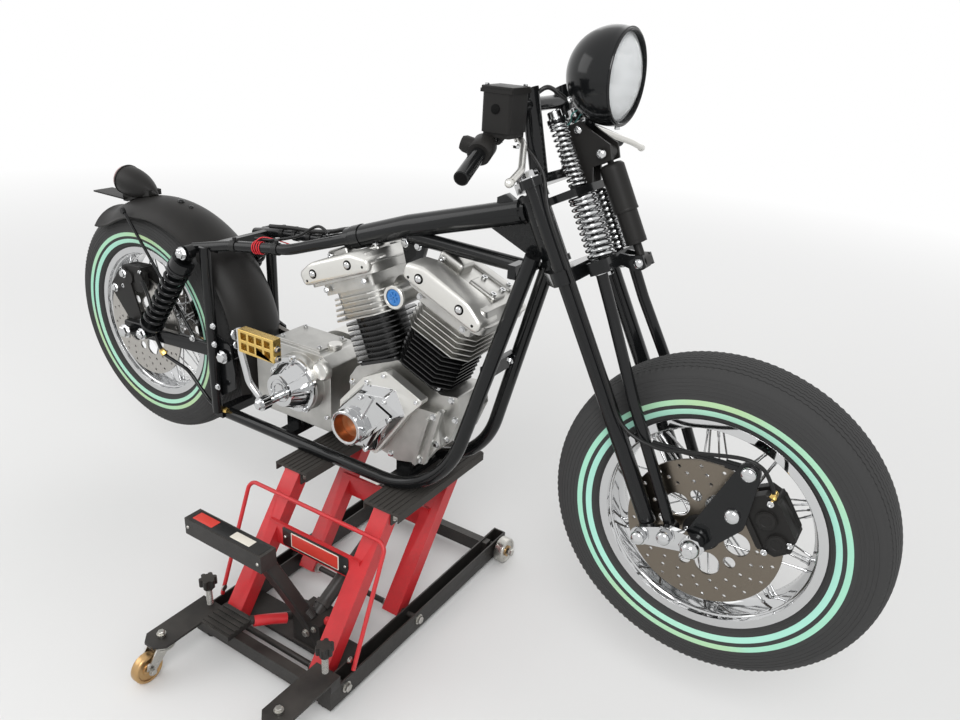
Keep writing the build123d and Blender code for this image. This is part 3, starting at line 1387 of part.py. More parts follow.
with BuildPart() as lift_base:
    rail_top = LIFT_RAIL_Z + LIFT_RAIL_H
    for side in (-1, 1):
        # Rail: a channel open at the top
        x = rail_x(side)
        half = LIFT_RAIL_W / 2
        block((x - half, x + half), (LIFT_NEAR, LIFT_FAR), (LIFT_RAIL_Z, rail_top))
        block(
            (x - half + LIFT_WALL, x + half - LIFT_WALL),
            (LIFT_NEAR + 40, LIFT_FAR - LIFT_WALL),
            (LIFT_RAIL_Z + LIFT_WALL, rail_top + 1),
            mode=Mode.SUBTRACT,
        )
    for side in (-1, 1):
        # Wing for the caster, screw foot and its knob
        x = LIFT_X + side * CASTER_DX
        outlined(
            Plane.XY.offset(LIFT_WING_Z),
            [
                (x - 34, CASTER_Y - 14),
                (x - 14, CASTER_Y - 34),
                (x + 14, CASTER_Y - 34),
                (x + 34, CASTER_Y - 14),
                (x + 34, LIFT_NEAR + 30),
                (x - 34, LIFT_NEAR + 30),
            ],
            6,
        )
        block((x - 34, x + 34), (LIFT_NEAR, LIFT_NEAR + 30), (rail_top, LIFT_WING_Z))
        rod(Vector(x, LIFT_NEAR + 20, 0), Vector(x, LIFT_NEAR + 20, 150), FOOT_R)
        rod(Vector(x, LIFT_NEAR + 20, 0), Vector(x, LIFT_NEAR + 20, 5), FOOT_R + 6)
        with BuildSketch(Plane.XY.offset(145)):
            with Locations((x, LIFT_NEAR + 20)):
                Circle(KNOB_R - 5)
                with PolarLocations(KNOB_R - 5, 6):
                    Circle(5.5)
        extrude(amount=20)
    for y in (LIFT_NEAR + 12, LIFT_FAR - 60):
        block(
            (rail_x(-1), rail_x(1)),
            (y - 12, y + 12),
            (LIFT_RAIL_Z + 6, rail_top - 6),
        )
    for dy in (0, ARM_PAIR_DY):
        rod(
            Vector(rail_x(-1) - LIFT_RAIL_W / 2, ARM_LOW_Y + dy, ARM_LOW_Z),
            Vector(rail_x(1) + LIFT_RAIL_W / 2, ARM_LOW_Y + dy, ARM_LOW_Z),
            ARM_PIN_R,
        )
    block(
        (rail_x(-1) + LIFT_RAIL_W / 2, rail_x(1) - LIFT_RAIL_W / 2),
        (PUMP_Y - 5, PUMP_Y + PUMP_L + 5),
        (18, 26),
    )
    for side in (-1, 1):
        wheel_out = rail_x(side) + side * (LIFT_RAIL_W / 2 + LIFT_WHEEL_GAP + LIFT_WHEEL_T)
        rod(
            Vector(rail_x(side) - side * LIFT_RAIL_W / 2, LIFT_WHEEL_Y, LIFT_WHEEL_R),
            Vector(wheel_out + side * 6, LIFT_WHEEL_Y, LIFT_WHEEL_R),
            LIFT_AXLE_R,
        )
        x = LIFT_X + side * CASTER_DX
        rod(
            Vector(x, CASTER_Y, LIFT_WING_Z - 1),
            Vector(x, CASTER_Y, LIFT_WING_Z + 7),
            KINGPIN_R + RUNNING,
            mode=Mode.SUBTRACT,
        )
finish(lift_base.part, "lift_base")

LEAN = Vector(0, ARM_TOP_Y - ARM_LOW_Y, ARM_TOP_Z - ARM_LOW_Z)
with BuildPart() as lift_arms:
    for dy in (0, ARM_PAIR_DY):
        for side in (-1, 1):
            # Arm: a channel open on its far side
            low = Vector(LIFT_X + side * ARM_DX, ARM_LOW_Y + dy, ARM_LOW_Z)
            slope = Plane(origin=low - LEAN.normalized() * 14, x_dir=(1, 0, 0), z_dir=LEAN)
            with BuildSketch(slope) as channel:
                Rectangle(LIFT_ARM_W, LIFT_ARM_D)
                with Locations((0, LIFT_WALL)):
                    Rectangle(LIFT_ARM_W - 2 * LIFT_WALL, LIFT_ARM_D, mode=Mode.SUBTRACT)
            extrude(channel.sketch, amount=LEAN.length + 12)
            with BuildSketch(Plane.YZ.offset(low.X)) as pin:
                with Locations((low.Y, low.Z)):
                    Circle(ARM_PIN_R + SEAT)
            extrude(pin.sketch, amount=LIFT_ARM_W, both=True, mode=Mode.SUBTRACT)
        middle = Vector(LIFT_X, ARM_LOW_Y + dy, ARM_LOW_Z) + LEAN * 0.62
        near = middle.Y - LIFT_ARM_D / 2 * sin(atan2(LEAN.Z, LEAN.Y))
        block((LIFT_X - ARM_DX, LIFT_X + ARM_DX), (near + 4, near + 12), (middle.Z - 30, middle.Z + 30))
finish(lift_arms.part, "lift_arms")

with BuildPart() as pads:
    for side in (-1, 1):
        x = LIFT_X + side * PAD_DX
        block((x - PAD_W / 2, x + PAD_W / 2), (PAD_NEAR, PAD_FAR), (PAD_TOP - PAD_T, PAD_TOP))
        # Grooves between the pad's ribs
        pitch = PAD_W / PAD_RIBS
        for number in range(1, PAD_RIBS):
            groove = x - PAD_W / 2 + number * pitch
            block(
                (groove - 1.6, groove + 1.6),
                (PAD_NEAR - 1, PAD_FAR + 1),
                (PAD_TOP - 2.5, PAD_TOP + 1),
                mode=Mode.SUBTRACT,
            )
        for cheek in (-1, 1):
            edge = x + cheek * PAD_W / 2
            block((edge, edge + cheek * 3), (PAD_NEAR, PAD_FAR), (PAD_TOP - 24, PAD_TOP - 2))
        for y in (ARM_TOP_Y, ARM_TOP_Y + ARM_PAIR_DY):
            for cheek in (-1, 1):
                near = x + cheek * (LIFT_ARM_W / 2 + SEAT)
                block((near, near + cheek * 4), (y - 16, y + 16), (PAD_TOP - 42, PAD_TOP - 4))
finish(pads.part, "lift_pads")


def roller_section(start, side, width, radius, bore):
    """Wheel turned about X: a rounded tread, hollow sides and a bored hub."""
    hub = radius * 0.42
    profile = [
        (0, bore),
        (0, hub),
        (3, hub),
        (3, radius * 0.74),
        (0, radius * 0.78),
        (0, radius - 3),
        (3, radius),
        (width - 3, radius),
        (width, radius - 3),
        (width, radius * 0.78),
        (width - 3, radius * 0.74),
        (width - 3, hub),
        (width, hub),
        (width, bore),
    ]
    with BuildSketch(Plane(origin=start, x_dir=(side, 0, 0), z_dir=(0, -side, 0))) as section:
        with BuildLine() as edge:
            Polyline(*profile, close=True)
        make_face(edge.edges())
    revolve(section.sketch, axis=Axis(start, (1, 0, 0)))


for name, side in (("rear", -1), ("front", 1)):
    near = rail_x(side) + side * (LIFT_RAIL_W / 2 + LIFT_WHEEL_GAP)
    with BuildPart() as roller:
        roller_section((near, LIFT_WHEEL_Y, LIFT_WHEEL_R), side, LIFT_WHEEL_T, LIFT_WHEEL_R, LIFT_AXLE_R + RUNNING)
    finish(roller.part, "lift_" + name + "_wheel")

for name, side in (("rear", -1), ("front", 1)):
    x = LIFT_X + side * CASTER_DX
    wheel_y = CASTER_Y - CASTER_TRAIL
    top = LIFT_WING_Z - CASTER_GAP
    with BuildPart() as caster:
        rod(Vector(x, CASTER_Y, top), Vector(x, CASTER_Y, top - 6), 26)
        rod(Vector(x, CASTER_Y, top - 3), Vector(x, CASTER_Y, LIFT_WING_Z + 8), KINGPIN_R)
        rod(Vector(x, CASTER_Y, LIFT_WING_Z + 7), Vector(x, CASTER_Y, LIFT_WING_Z + 14), 9)
        for cheek in (-1, 1):
            outlined(
                Plane.YZ.offset(x + cheek * (CASTER_WHEEL_T / 2 + 3)),
                [
                    (CASTER_Y + 20, top - 3),
                    (CASTER_Y - 24, top - 3),
                    (wheel_y - 9, LIFT_WHEEL_R + 8),
                    (wheel_y - 4, LIFT_WHEEL_R - 9),
                    (wheel_y + 9, LIFT_WHEEL_R - 9),
                ],
                cheek * 3,
            )
        rod(
            Vector(x - CASTER_WHEEL_T / 2 - 9, wheel_y, LIFT_WHEEL_R),
            Vector(x + CASTER_WHEEL_T / 2 + 9, wheel_y, LIFT_WHEEL_R),
            CASTER_AXLE_R,
        )
    finish(caster.part, "caster_" + name + "_fork")

    with BuildPart() as roller:
        roller_section(
            (x - CASTER_WHEEL_T / 2, wheel_y, LIFT_WHEEL_R),
            1,
            CASTER_WHEEL_T,
            LIFT_WHEEL_R,
            CASTER_AXLE_R + RUNNING,
        )
    finish(roller.part, "caster_" + name + "_wheel")

with BuildPart() as pump:
    # Body, ram, lever tube and the lever's square head
    block((PUMP_X + SEAT, PUMP_X + PUMP_W), (PUMP_Y, PUMP_Y + PUMP_L), (26 + SEAT, 104))
    rod(Vector(PUMP_X + 42, PUMP_Y + 34, 96), Vector(PUMP_X + 42, PUMP_Y + 260, 214), 17)
    with BuildSketch(Plane(origin=(PUMP_X + 38, PUMP_Y + 14, 92), x_dir=(1, 0, 0), z_dir=(-44, -86, 208))) as lever:
        RectangleRounded(38, 30, 5)
    extrude(lever.sketch, amount=240)
    block((PUMP_X - 211, PUMP_X + 28), (PUMP_Y - 108, PUMP_Y - 64), (296, 338))
finish(pump.part, "lift_pump")

with BuildPart() as safety_bar:
    foot_z = LIFT_RAIL_Z + LIFT_RAIL_H + SAFETY_R * 0.43 + SEAT
    bent_tube(
        [
            (rail_x(-1) - 15, -342, foot_z),
            (rail_x(-1) - 15, -232, PAD_TOP - 30),
            (rail_x(1) + 15, -232, PAD_TOP - 30),
            (rail_x(1) + 15, -342, foot_z),
        ],
        [22, 22],
        SAFETY_R,
    )
finish(safety_bar.part, "lift_safety_bar")

with BuildPart() as pedal:
    block((PUMP_X - 136, PUMP_X - 48), (PUMP_Y - 148, PUMP_Y - 72), (100, 112))
    # Treads across the pedal
    for number in range(5):
        y = PUMP_Y - 142 + number * 14
        block((PUMP_X - 136, PUMP_X - 48), (y, y + 6), (111, 116))
    rod(Vector(PUMP_X - 52, PUMP_Y - 82, 112), Vector(PUMP_X + 4, PUMP_Y + 28, 82), 10)
    block((PUMP_X, PUMP_X + PUMP_W), (PUMP_Y - 10, PUMP_Y + PUMP_L + 10), (20, 110), mode=Mode.SUBTRACT)
finish(pedal.part, "lift_release_pedal")
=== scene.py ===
"""Chopper motorcycle on its scissor lift: finishes, small pieces, studio and camera.

Lengths are millimetres in the row frame: X forward, Y to the rider's left, Z up.
"""

import json
import logging
import math
from dataclasses import dataclass, field
from enum import Enum
from typing import Sequence

import bmesh
import bpy
import numpy as np
from mathutils import Matrix

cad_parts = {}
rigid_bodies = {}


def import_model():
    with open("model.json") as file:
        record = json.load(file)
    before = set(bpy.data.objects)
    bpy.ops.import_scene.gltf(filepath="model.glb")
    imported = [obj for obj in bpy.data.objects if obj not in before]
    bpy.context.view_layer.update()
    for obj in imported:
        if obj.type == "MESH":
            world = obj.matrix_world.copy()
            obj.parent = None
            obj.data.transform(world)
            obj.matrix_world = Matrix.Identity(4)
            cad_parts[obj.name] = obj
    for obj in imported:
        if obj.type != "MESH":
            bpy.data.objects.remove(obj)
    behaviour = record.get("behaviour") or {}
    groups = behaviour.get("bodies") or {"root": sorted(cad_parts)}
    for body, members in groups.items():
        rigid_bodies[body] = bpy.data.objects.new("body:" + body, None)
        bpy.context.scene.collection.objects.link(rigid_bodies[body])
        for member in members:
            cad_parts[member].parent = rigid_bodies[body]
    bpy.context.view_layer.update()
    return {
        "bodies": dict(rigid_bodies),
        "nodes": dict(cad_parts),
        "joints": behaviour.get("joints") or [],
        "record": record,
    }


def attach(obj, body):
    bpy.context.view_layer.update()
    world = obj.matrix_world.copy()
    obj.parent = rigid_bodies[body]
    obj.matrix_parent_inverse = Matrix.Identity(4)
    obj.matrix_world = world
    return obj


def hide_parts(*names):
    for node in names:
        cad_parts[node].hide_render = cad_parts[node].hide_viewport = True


Vector = Sequence[float]
Colour = tuple[float, float, float]
Socket = bpy.types.NodeSocket

LOG = logging.getLogger("chopper")
MM = 0.001
MERGE = 2e-6
FLAT_ANGLE = math.radians(0.4)
SMOOTH_ANGLE = math.radians(36)
BEVEL_ANGLE = math.radians(38)
COAT_ROUGHNESS = 0.06
DUST_COLOUR = (0.30, 0.27, 0.24)
DUST_ROUGHNESS = 0.8

ORIGIN = (0, 0, 0)
FORWARD, BACKWARD = (1, 0, 0), (-1, 0, 0)
LEFT, RIGHT = (0, 1, 0), (0, -1, 0)
TOP, BOTTOM = (0, 0, 1), (0, 0, -1)
ACROSS = np.array([0.0, 1.0, 0.0])

# Steering axis, crank, gearbox and axles, as the part's own sizes have them
RAKE = math.radians(27.3)
STEERING_HEAD = np.array([369.0, 0.0, 1065.0])
AHEAD = np.array([math.cos(RAKE), 0.0, math.sin(RAKE)])
UPWARD = np.array([-math.sin(RAKE), 0.0, math.cos(RAKE)])
V_HALF = math.radians(22.5)
CRANK = np.array([80.0, 0.0, 520.0])
GEARBOX = np.array([-215.0, 0.0, 545.0])
PRIMARY = np.array([-215.0, 0.0, 524.0])
AXLE_X, AXLE_Z = 806.0, 545.0


class End(Enum):
    """The motorcycle's ends and cylinders, by their side of the middle along X."""

    FRONT = 1
    REAR = -1

    @property
    def label(self) -> str:
        """Give the end's name as the nodes have it."""
        return self.name.lower()

    @property
    def axle(self) -> np.ndarray:
        """Give the middle of the end's axle."""
        return np.array([self.value * AXLE_X, 0.0, AXLE_Z])


def fork_point(ahead: float, left: float, up: float) -> np.ndarray:
    """Give the place ahead of, left of and up the steering axis."""
    return STEERING_HEAD + ahead * AHEAD + left * ACROSS + up * UPWARD


def heading(degrees: float | np.ndarray) -> np.ndarray:
    """Give the direction across Y at an angle from forward towards up."""
    angle = np.radians(degrees)
    return np.stack([np.cos(angle), 0 * angle, np.sin(angle)], axis=-1)


def unit(vectors: Vector) -> np.ndarray:
    """Scale each vector in the last axis to length one."""
    vectors = np.asarray(vectors, float)
    return vectors / np.maximum(np.linalg.norm(vectors, axis=-1, keepdims=True), 1e-9)


def side_frames(axes: np.ndarray) -> tuple[np.ndarray, np.ndarray]:
    """Find two directions across each axis.

    Each first direction is the cross product of the axis and the row axis it leans on least,
    and each second one is the cross product of the axis and the first.

    Args:
        axes: Unit vectors, one a row.

    Returns:
        The first and the second directions, one a row.
    """
    least = np.eye(3)[np.argmin(np.abs(axes), axis=-1)]
    first = unit(np.cross(axes, least))
    return first, np.cross(axes, first)


def grid_faces(rows: int, columns: int, wrap_rows: bool, wrap_columns: bool) -> np.ndarray:
    """Number the corners of each four-sided face on a grid of points.

    Args:
        rows: How many rows of points the grid has.
        columns: How many points a row has.
        wrap_rows: Whether the last row joins the first.
        wrap_columns: Whether each row closes on itself.

    Returns:
        The four corner numbers of each face, one face a row.
    """
    row = np.arange(rows if wrap_rows else rows - 1)[:, None]
    column = np.arange(columns if wrap_columns else columns - 1)[None, :]
    below = (row + 1) % rows
    beside = (column + 1) % columns
    corners = [(row, column), (row, beside), (below, beside), (below, column)]
    return np.stack([near * columns + far for near, far in corners], axis=-1).reshape(-1, 4)


def path_length(points: np.ndarray) -> np.ndarray:
    """Give how far along a chain each of its points lies."""
    return np.concatenate([[0.0], np.cumsum(np.linalg.norm(np.diff(points, axis=0), axis=1))])


def smooth_line(points: Sequence[Vector], steps: int) -> np.ndarray:
    """Round a chain of points with Catmull-Rom spans.

    A point at share t of a span is the cubic through the span's ends whose end slopes are half
    the difference of the neighbours on either side.

    Args:
        points: The chain's points.
        steps: How many points each span gets.

    Returns:
        The rounded chain, its last point included.
    """
    chain = np.asarray(points, float)
    padded = np.vstack([2 * chain[0] - chain[1], chain, 2 * chain[-1] - chain[-2]])
    t = np.linspace(0, 1, steps, endpoint=False)[None, :, None]
    a, b, c, d = (padded[k: len(padded) - 3 + k, None, :] for k in range(4))
    square, cube = 2 * a - 5 * b + 4 * c - d, 3 * b - a - 3 * c + d
    spans = 0.5 * (2 * b + (c - a) * t + square * t**2 + cube * t**3)
    return np.vstack([spans.reshape(-1, chain.shape[1]), chain[-1:]])


def eased(outline: Sequence[Vector], radius: float, steps: int = 4) -> np.ndarray:
    """Round the corners of a flat outline.

    Between the two points a radius away from a corner runs the quadratic curve that the corner
    pulls: (1 - t) squared before, plus 2 t (1 - t) corner, plus t squared after.

    Args:
        outline: The corners, one a row.
        radius: How far from a corner its rounding starts.
        steps: How many steps each rounding has.

    Returns:
        The rounded outline.
    """
    corner = np.asarray(outline, float)
    before = corner + unit(np.roll(corner, 1, axis=0) - corner) * radius
    after = corner + unit(np.roll(corner, -1, axis=0) - corner) * radius
    t = np.linspace(0, 1, steps + 1)[None, :, None]
    pulled = (1 - t) ** 2 * before[:, None] + 2 * t * (1 - t) * corner[:, None]
    return (pulled + t**2 * after[:, None]).reshape(-1, 2)


def rectangle(width: float, height: float, corner: float) -> np.ndarray:
    """Give a rounded rectangle about the origin."""
    w, h = width / 2, height / 2
    return eased([(-w, -h), (w, -h), (w, h), (-w, h)], corner)


def drum(low: float, high: float, radius: float) -> list[tuple[float, float]]:
    """Give the profile of a solid drum between two heights."""
    return [(low, 0), (low, radius), (high, radius), (high, 0)]


def hoop(low: float, high: float, inner: float, outer: float) -> list[tuple[float, float]]:
    """Give the closed profile of a plain ring between two heights and two radii."""
    return [(low, inner), (low, outer), (high, outer), (high, inner), (low, inner)]


class ShaderTree:
    """Short ways to add and join nodes in one shader tree."""

    def __init__(self, tree: bpy.types.NodeTree) -> None:
        """Hold the tree that the nodes go into."""
        self.tree = tree

    def add(self, kind: str, **settings: object) -> bpy.types.Node:
        """Add a node of a kind and set its properties."""
        node = self.tree.nodes.new(kind)
        for name, value in settings.items():
            setattr(node, name, value)
        return node

    def join(self, source: Socket, target: Socket) -> None:
        """Link one socket to another."""
        self.tree.links.new(source, target)

    def noise(self, scale: float, detail: float = 4.0) -> Socket:
        """Add noise on Object coordinates.

        Args:
            scale: How many blotches a metre holds.
            detail: How many finer layers the noise has.

        Returns:
            The socket with the noise's value.
        """
        pattern = self.add("ShaderNodeTexNoise")
        pattern.inputs["Scale"].default_value = scale
        pattern.inputs["Detail"].default_value = detail
        self.join(self.add("ShaderNodeTexCoord").outputs["Object"], pattern.inputs["Vector"])
        return pattern.outputs["Fac"]

    def remap(self, source: Socket, low: float, high: float, to_low: float, to_high: float) -> Socket:
        """Map a value's range onto another one, held to its ends."""
        node = self.add("ShaderNodeMapRange")
        ends = {"From Min": low, "From Max": high, "To Min": to_low, "To Max": to_high}
        for label, value in ends.items():
            node.inputs[label].default_value = value
        self.join(source, node.inputs["Value"])
        return node.outputs["Result"]

    def blend(self, share: Socket, below: Socket, above: Socket) -> Socket:
        """Mix two values by a mask."""
        node = self.add("ShaderNodeMix", data_type="FLOAT")
        for number, source in ((0, share), (2, below), (3, above)):
            self.join(source, node.inputs[number])
        return node.outputs[0]

    def math(self, operation: str, first: Socket, second: Socket | float) -> Socket:
        """Add a sum, product or other operation on two values."""
        node = self.add("ShaderNodeMath", operation=operation)
        self.join(first, node.inputs[0])
        if isinstance(second, (int, float)):
            node.inputs[1].default_value = second
        else:
            self.join(second, node.inputs[1])
        return node.outputs[0]

    def mix(self, share: Socket, below: Colour | Socket, above: Colour) -> Socket:
        """Lay one colour over another by a mask.

        Args:
            share: The socket with the mask.
            below: A colour, or the socket with one, where the mask is 0.
            above: The colour where the mask is 1.

        Returns:
            The socket with the mixed colour.
        """
        node = self.add("ShaderNodeMix", data_type="RGBA")
        self.join(share, node.inputs[0])
        if isinstance(below, tuple):
            node.inputs[6].default_value = (*below, 1.0)
        else:
            self.join(below, node.inputs[6])
        node.inputs[7].default_value = (*above, 1.0)
        return node.outputs[2]


class Effect(Enum):
    """Surface effects that several finishes share, each one node group."""

    WEAR = "edge wear"
    DUST = "settled dust"
    GRAIN = "fine grain"

    def group(self) -> bpy.types.NodeTree:
        """Give the effect's node group, built the first time."""
        return bpy.data.node_groups.get(self.value) or getattr(self, "_build_" + self.name.lower())()

    def _start(self, label: str, amount: float, output: str) -> tuple[ShaderTree, Socket, Socket]:
        """Make an empty group with one number input and one output.

        Args:
            label: The input's name.
            amount: The input's default.
            output: The output's name.

        Returns:
            The tree, the socket of its input and the socket that takes the result.
        """
        group = bpy.data.node_groups.new(self.value, "ShaderNodeTree")
        kind = "NodeSocketFloat"
        group.interface.new_socket(name=label, in_out="INPUT", socket_type=kind).default_value = amount
        group.interface.new_socket(name=output, in_out="OUTPUT", socket_type=kind)
        tree = ShaderTree(group)
        entry = tree.add("NodeGroupInput").outputs[label]
        return tree, entry, tree.add("NodeGroupOutput").inputs[output]

    def _build_wear(self) -> bpy.types.NodeTree:
        """Build the mask of convex edges, broken up by noise."""
        tree, amount, result = self._start("Amount", 1.0, "Mask")
        point = tree.add("ShaderNodeNewGeometry").outputs["Pointiness"]
        edge = tree.remap(point, 0.53, 0.62, 0.0, 1.0)
        broken = tree.remap(tree.noise(160.0), 0.45, 0.62, 0.0, 1.0)
        tree.join(tree.math("MULTIPLY", tree.math("MULTIPLY", edge, broken), amount), result)
        return tree.tree

    def _build_dust(self) -> bpy.types.NodeTree:
        """Build the mask of upward faces, patchy as settled dust is."""
        tree, amount, result = self._start("Amount", 1.0, "Mask")
        split = tree.add("ShaderNodeSeparateXYZ")
        tree.join(tree.add("ShaderNodeNewGeometry").outputs["Normal"], split.inputs[0])
        facing = tree.remap(split.outputs["Z"], -0.2, 1.0, 0.12, 1.0)
        patches = tree.remap(tree.noise(14.0, 8.0), 0.3, 0.75, 0.1, 1.0)
        tree.join(tree.math("MULTIPLY", tree.math("MULTIPLY", facing, patches), amount), result)
        return tree.tree

    def _build_grain(self) -> bpy.types.NodeTree:
        """Build a coarse and a fine noise, mixed by share."""
        tree, coarse, result = self._start("Coarse", 0.5, "Value")
        tree.join(tree.blend(coarse, tree.noise(900.0, 2.0), tree.noise(45.0, 6.0)), result)
        return tree.tree


@dataclass(frozen=True)
class Finish:
    """One plain finish: a colour with grain, worn edges and dust.

    Attributes:
        name: Name of the material.
        slot: The record's slot that the finish stands for.
        colour: Base colour, linear.
        roughness: Middle roughness.
        metallic: 1 for bare metal.
        coat: Weight of a clear coat.
        spread: How far the roughness strays from its middle.
        relief: Height of the grain in millimetres.
        coarse: Share of the coarse grain against the fine one.
        wear: Strength of worn edges.
        worn: Colour of worn edges.
        dust: Strength of the dust.
        specular: Level of the plain reflection, 0.5 as usual.
        mottle: How much the darker blotches take of the colour.
    """

    name: str
    slot: str
    colour: Colour
    roughness: float
    metallic: float = 0.0
    coat: float = 0.0
    spread: float = 0.05
    relief: float = 0.0
    coarse: float = 0.5
    wear: float = 0.0
    worn: Colour = (0.3, 0.3, 0.3)
    dust: float = 0.0
    specular: float = 0.5
    mottle: float = 0.0

    def colour_nodes(self, tree: ShaderTree) -> Socket | None:
        """Give the socket of the colour before wear and dust, or None where it is plain."""
        if not self.mottle:
            return None
        share = tree.remap(tree.noise(24.0, 7.0), 0.38, 0.68, 0.0, self.mottle)
        return tree.mix(share, self.colour, tuple(0.45 * part for part in self.colour))

    def height_nodes(self, tree: ShaderTree, grain: Socket) -> Socket:
        """Give the socket of the surface's fine height, from 0 to 1."""
        return grain

    def material(self) -> bpy.types.Material:
        """Give the finish's material, built the first time."""
        return bpy.data.materials.get(self.name) or self._build()

    def _start(self, **settings: float) -> tuple[bpy.types.Material, bpy.types.Node]:
        """Make the material with its colour and set named inputs of its shader."""
        made = bpy.data.materials.new(self.name)
        made.use_nodes = True
        shader = made.node_tree.nodes["Principled BSDF"]
        shader.inputs["Base Color"].default_value = (*self.colour, 1.0)
        for label, value in settings.items():
            shader.inputs[label.replace("_", " ")].default_value = value
        return made, shader

    def _build(self) -> bpy.types.Material:
        """Build the material from the fields."""
        made, shader = self._start(
            Metallic=self.metallic, Coat_Weight=self.coat, Coat_Roughness=COAT_ROUGHNESS,
            Specular_IOR_Level=self.specular,
        )
        tree = ShaderTree(made.node_tree)
        grain = tree.add("ShaderNodeGroup", node_tree=Effect.GRAIN.group())
        grain.inputs["Coarse"].default_value = self.coarse
        low, high = self.roughness - self.spread, self.roughness + self.spread
        rough = tree.remap(grain.outputs[0], 0.3, 0.7, low, high)
        colour = self.colour_nodes(tree)
        if self.wear:
            wear = tree.add("ShaderNodeGroup", node_tree=Effect.WEAR.group())
            wear.inputs["Amount"].default_value = self.wear
            colour = tree.mix(wear.outputs[0], colour or self.colour, self.worn)
        if self.dust:
            dust = tree.add("ShaderNodeGroup", node_tree=Effect.DUST.group())
            dust.inputs["Amount"].default_value = self.dust
            colour = tree.mix(dust.outputs[0], colour or self.colour, DUST_COLOUR)
            dull = tree.remap(dust.outputs[0], 0.0, 1.0, 0.0, DUST_ROUGHNESS)
            rough = tree.math("MAXIMUM", rough, dull)
        if colour:
            tree.join(colour, shader.inputs["Base Color"])
        tree.join(rough, shader.inputs["Roughness"])
        if self.relief:
            bump = tree.add("ShaderNodeBump")
            bump.inputs["Distance"].default_value = self.relief * MM
            tree.join(self.height_nodes(tree, grain.outputs[0]), bump.inputs["Height"])
            tree.join(bump.outputs[0], shader.inputs["Normal"])
        return made


@dataclass(frozen=True)
class TurnedSteel(Finish):
    """Steel with fine rings round a wheel's axle.

    Attributes:
        axle_x: Where the axle stands along X.
    """

    axle_x: float = AXLE_X

    def height_nodes(self, tree: ShaderTree, grain: Socket) -> Socket:
        """Give rings: noise read at the distance from the axle alone."""
        shift = tree.add("ShaderNodeMapping")
        shift.inputs["Location"].default_value = (-self.axle_x * MM, 0.0, -AXLE_Z * MM)
        tree.join(tree.add("ShaderNodeTexCoord").outputs["Object"], shift.inputs["Vector"])
        flat = tree.add("ShaderNodeVectorMath", operation="MULTIPLY")
        flat.inputs[1].default_value = (1.0, 0.0, 1.0)
        tree.join(shift.outputs[0], flat.inputs[0])
        length = tree.add("ShaderNodeVectorMath", operation="LENGTH")
        tree.join(flat.outputs[0], length.inputs[0])
        rings = tree.add("ShaderNodeTexNoise", noise_dimensions="1D")
        rings.inputs["Scale"].default_value = 900.0
        tree.join(length.outputs["Value"], rings.inputs["W"])
        return rings.outputs["Fac"]


@dataclass(frozen=True)
class FadedStripe(Finish):
    """Pale stripe paint that has yellowed in long patches.

    Attributes:
        faded: Colour of the yellowed patches.
        share: How much of the faded colour the patches take.
    """

    faded: Colour = (0.46, 0.58, 0.26)
    share: float = 0.8

    def colour_nodes(self, tree: ShaderTree) -> Socket:
        """Mix the faded colour in by broad noise."""
        share = tree.remap(tree.noise(2.6, 2.0), 0.45, 0.62, 0.0, self.share)
        return tree.mix(share, self.colour, self.faded)


@dataclass(frozen=True)
class ClearGlass(Finish):
    """Clear pressed glass, without grain or dust."""

    def _build(self) -> bpy.types.Material:
        """Build the glass's material."""
        made, _ = self._start(Roughness=self.roughness, Transmission_Weight=1.0, IOR=1.45)
        return made


GLOSS_BLACK = Finish(
    "gloss_black_paint", "gloss_black", (0.0055, 0.006, 0.0065), 0.17, coat=0.2, spread=0.03,
    wear=0.08, worn=(0.06, 0.06, 0.06), dust=0.012, specular=0.2,
)
SATIN_BLACK = Finish(
    "satin_black_paint", "satin_black", (0.0125, 0.012, 0.0115), 0.44, spread=0.04, relief=0.03,
    dust=0.03, specular=0.18,
)
BARREL_BLACK = Finish(
    "barrel_black_paint", "satin_black", (0.005, 0.005, 0.0052), 0.24, wear=0.2, worn=(0.10, 0.10, 0.10)
)
TYRE_RUBBER = Finish(
    "tyre_rubber", "tyre_rubber", (0.0165, 0.0155, 0.0148), 0.60, spread=0.06, relief=0.06,
    dust=0.04, specular=0.15, mottle=0.5,
)
STRIPE = FadedStripe("inner_stripe", "tyre_rubber", (0.36, 0.70, 0.58), 0.5, share=0.25)
OUTER_STRIPE = FadedStripe("outer_stripe", "tyre_rubber", (0.33, 0.66, 0.50), 0.5)
CHROME = Finish("bright_chrome", "chrome", (0.57, 0.575, 0.58), 0.06, metallic=1.0, spread=0.02)
FRONT_DISC = TurnedSteel(
    "front_disc_steel", "disc_steel", (0.185, 0.160, 0.130), 0.30, metallic=1.0, relief=0.05
)
REAR_DISC = TurnedSteel(
    "rear_disc_steel", "disc_steel", (0.44, 0.425, 0.40), 0.30, metallic=1.0, relief=0.05, axle_x=-AXLE_X
)
CHAIN_STEEL = Finish("chain_steel", "disc_steel", (0.13, 0.12, 0.11), 0.40, metallic=1.0, dust=0.06)
CAST_ALLOY = Finish(
    "cast_alloy", "engine_alloy", (0.50, 0.495, 0.475), 0.36, metallic=1.0, relief=0.22, coarse=0.2,
    dust=0.04, mottle=0.32,
)
POLISHED_ALLOY = Finish("polished_alloy", "polished_alloy", (0.64, 0.635, 0.62), 0.14, metallic=1.0)
BRASS = Finish(
    "worn_brass", "brass", (0.72, 0.50, 0.16), 0.26, metallic=1.0, spread=0.08, relief=0.1, dust=0.03
)
COPPER = Finish(
    "copper", "brass", (0.46, 0.225, 0.12), 0.36, metallic=1.0, spread=0.1, relief=0.15, mottle=0.6
)
LAMP_GLASS = ClearGlass("lamp_glass", "lamp_glass", (0.93, 0.96, 0.95), 0.02)
REAR_GLASS = Finish("rear_lamp_red", "lift_red", (0.22, 0.006, 0.006), 0.12, coat=0.8, spread=0.02)
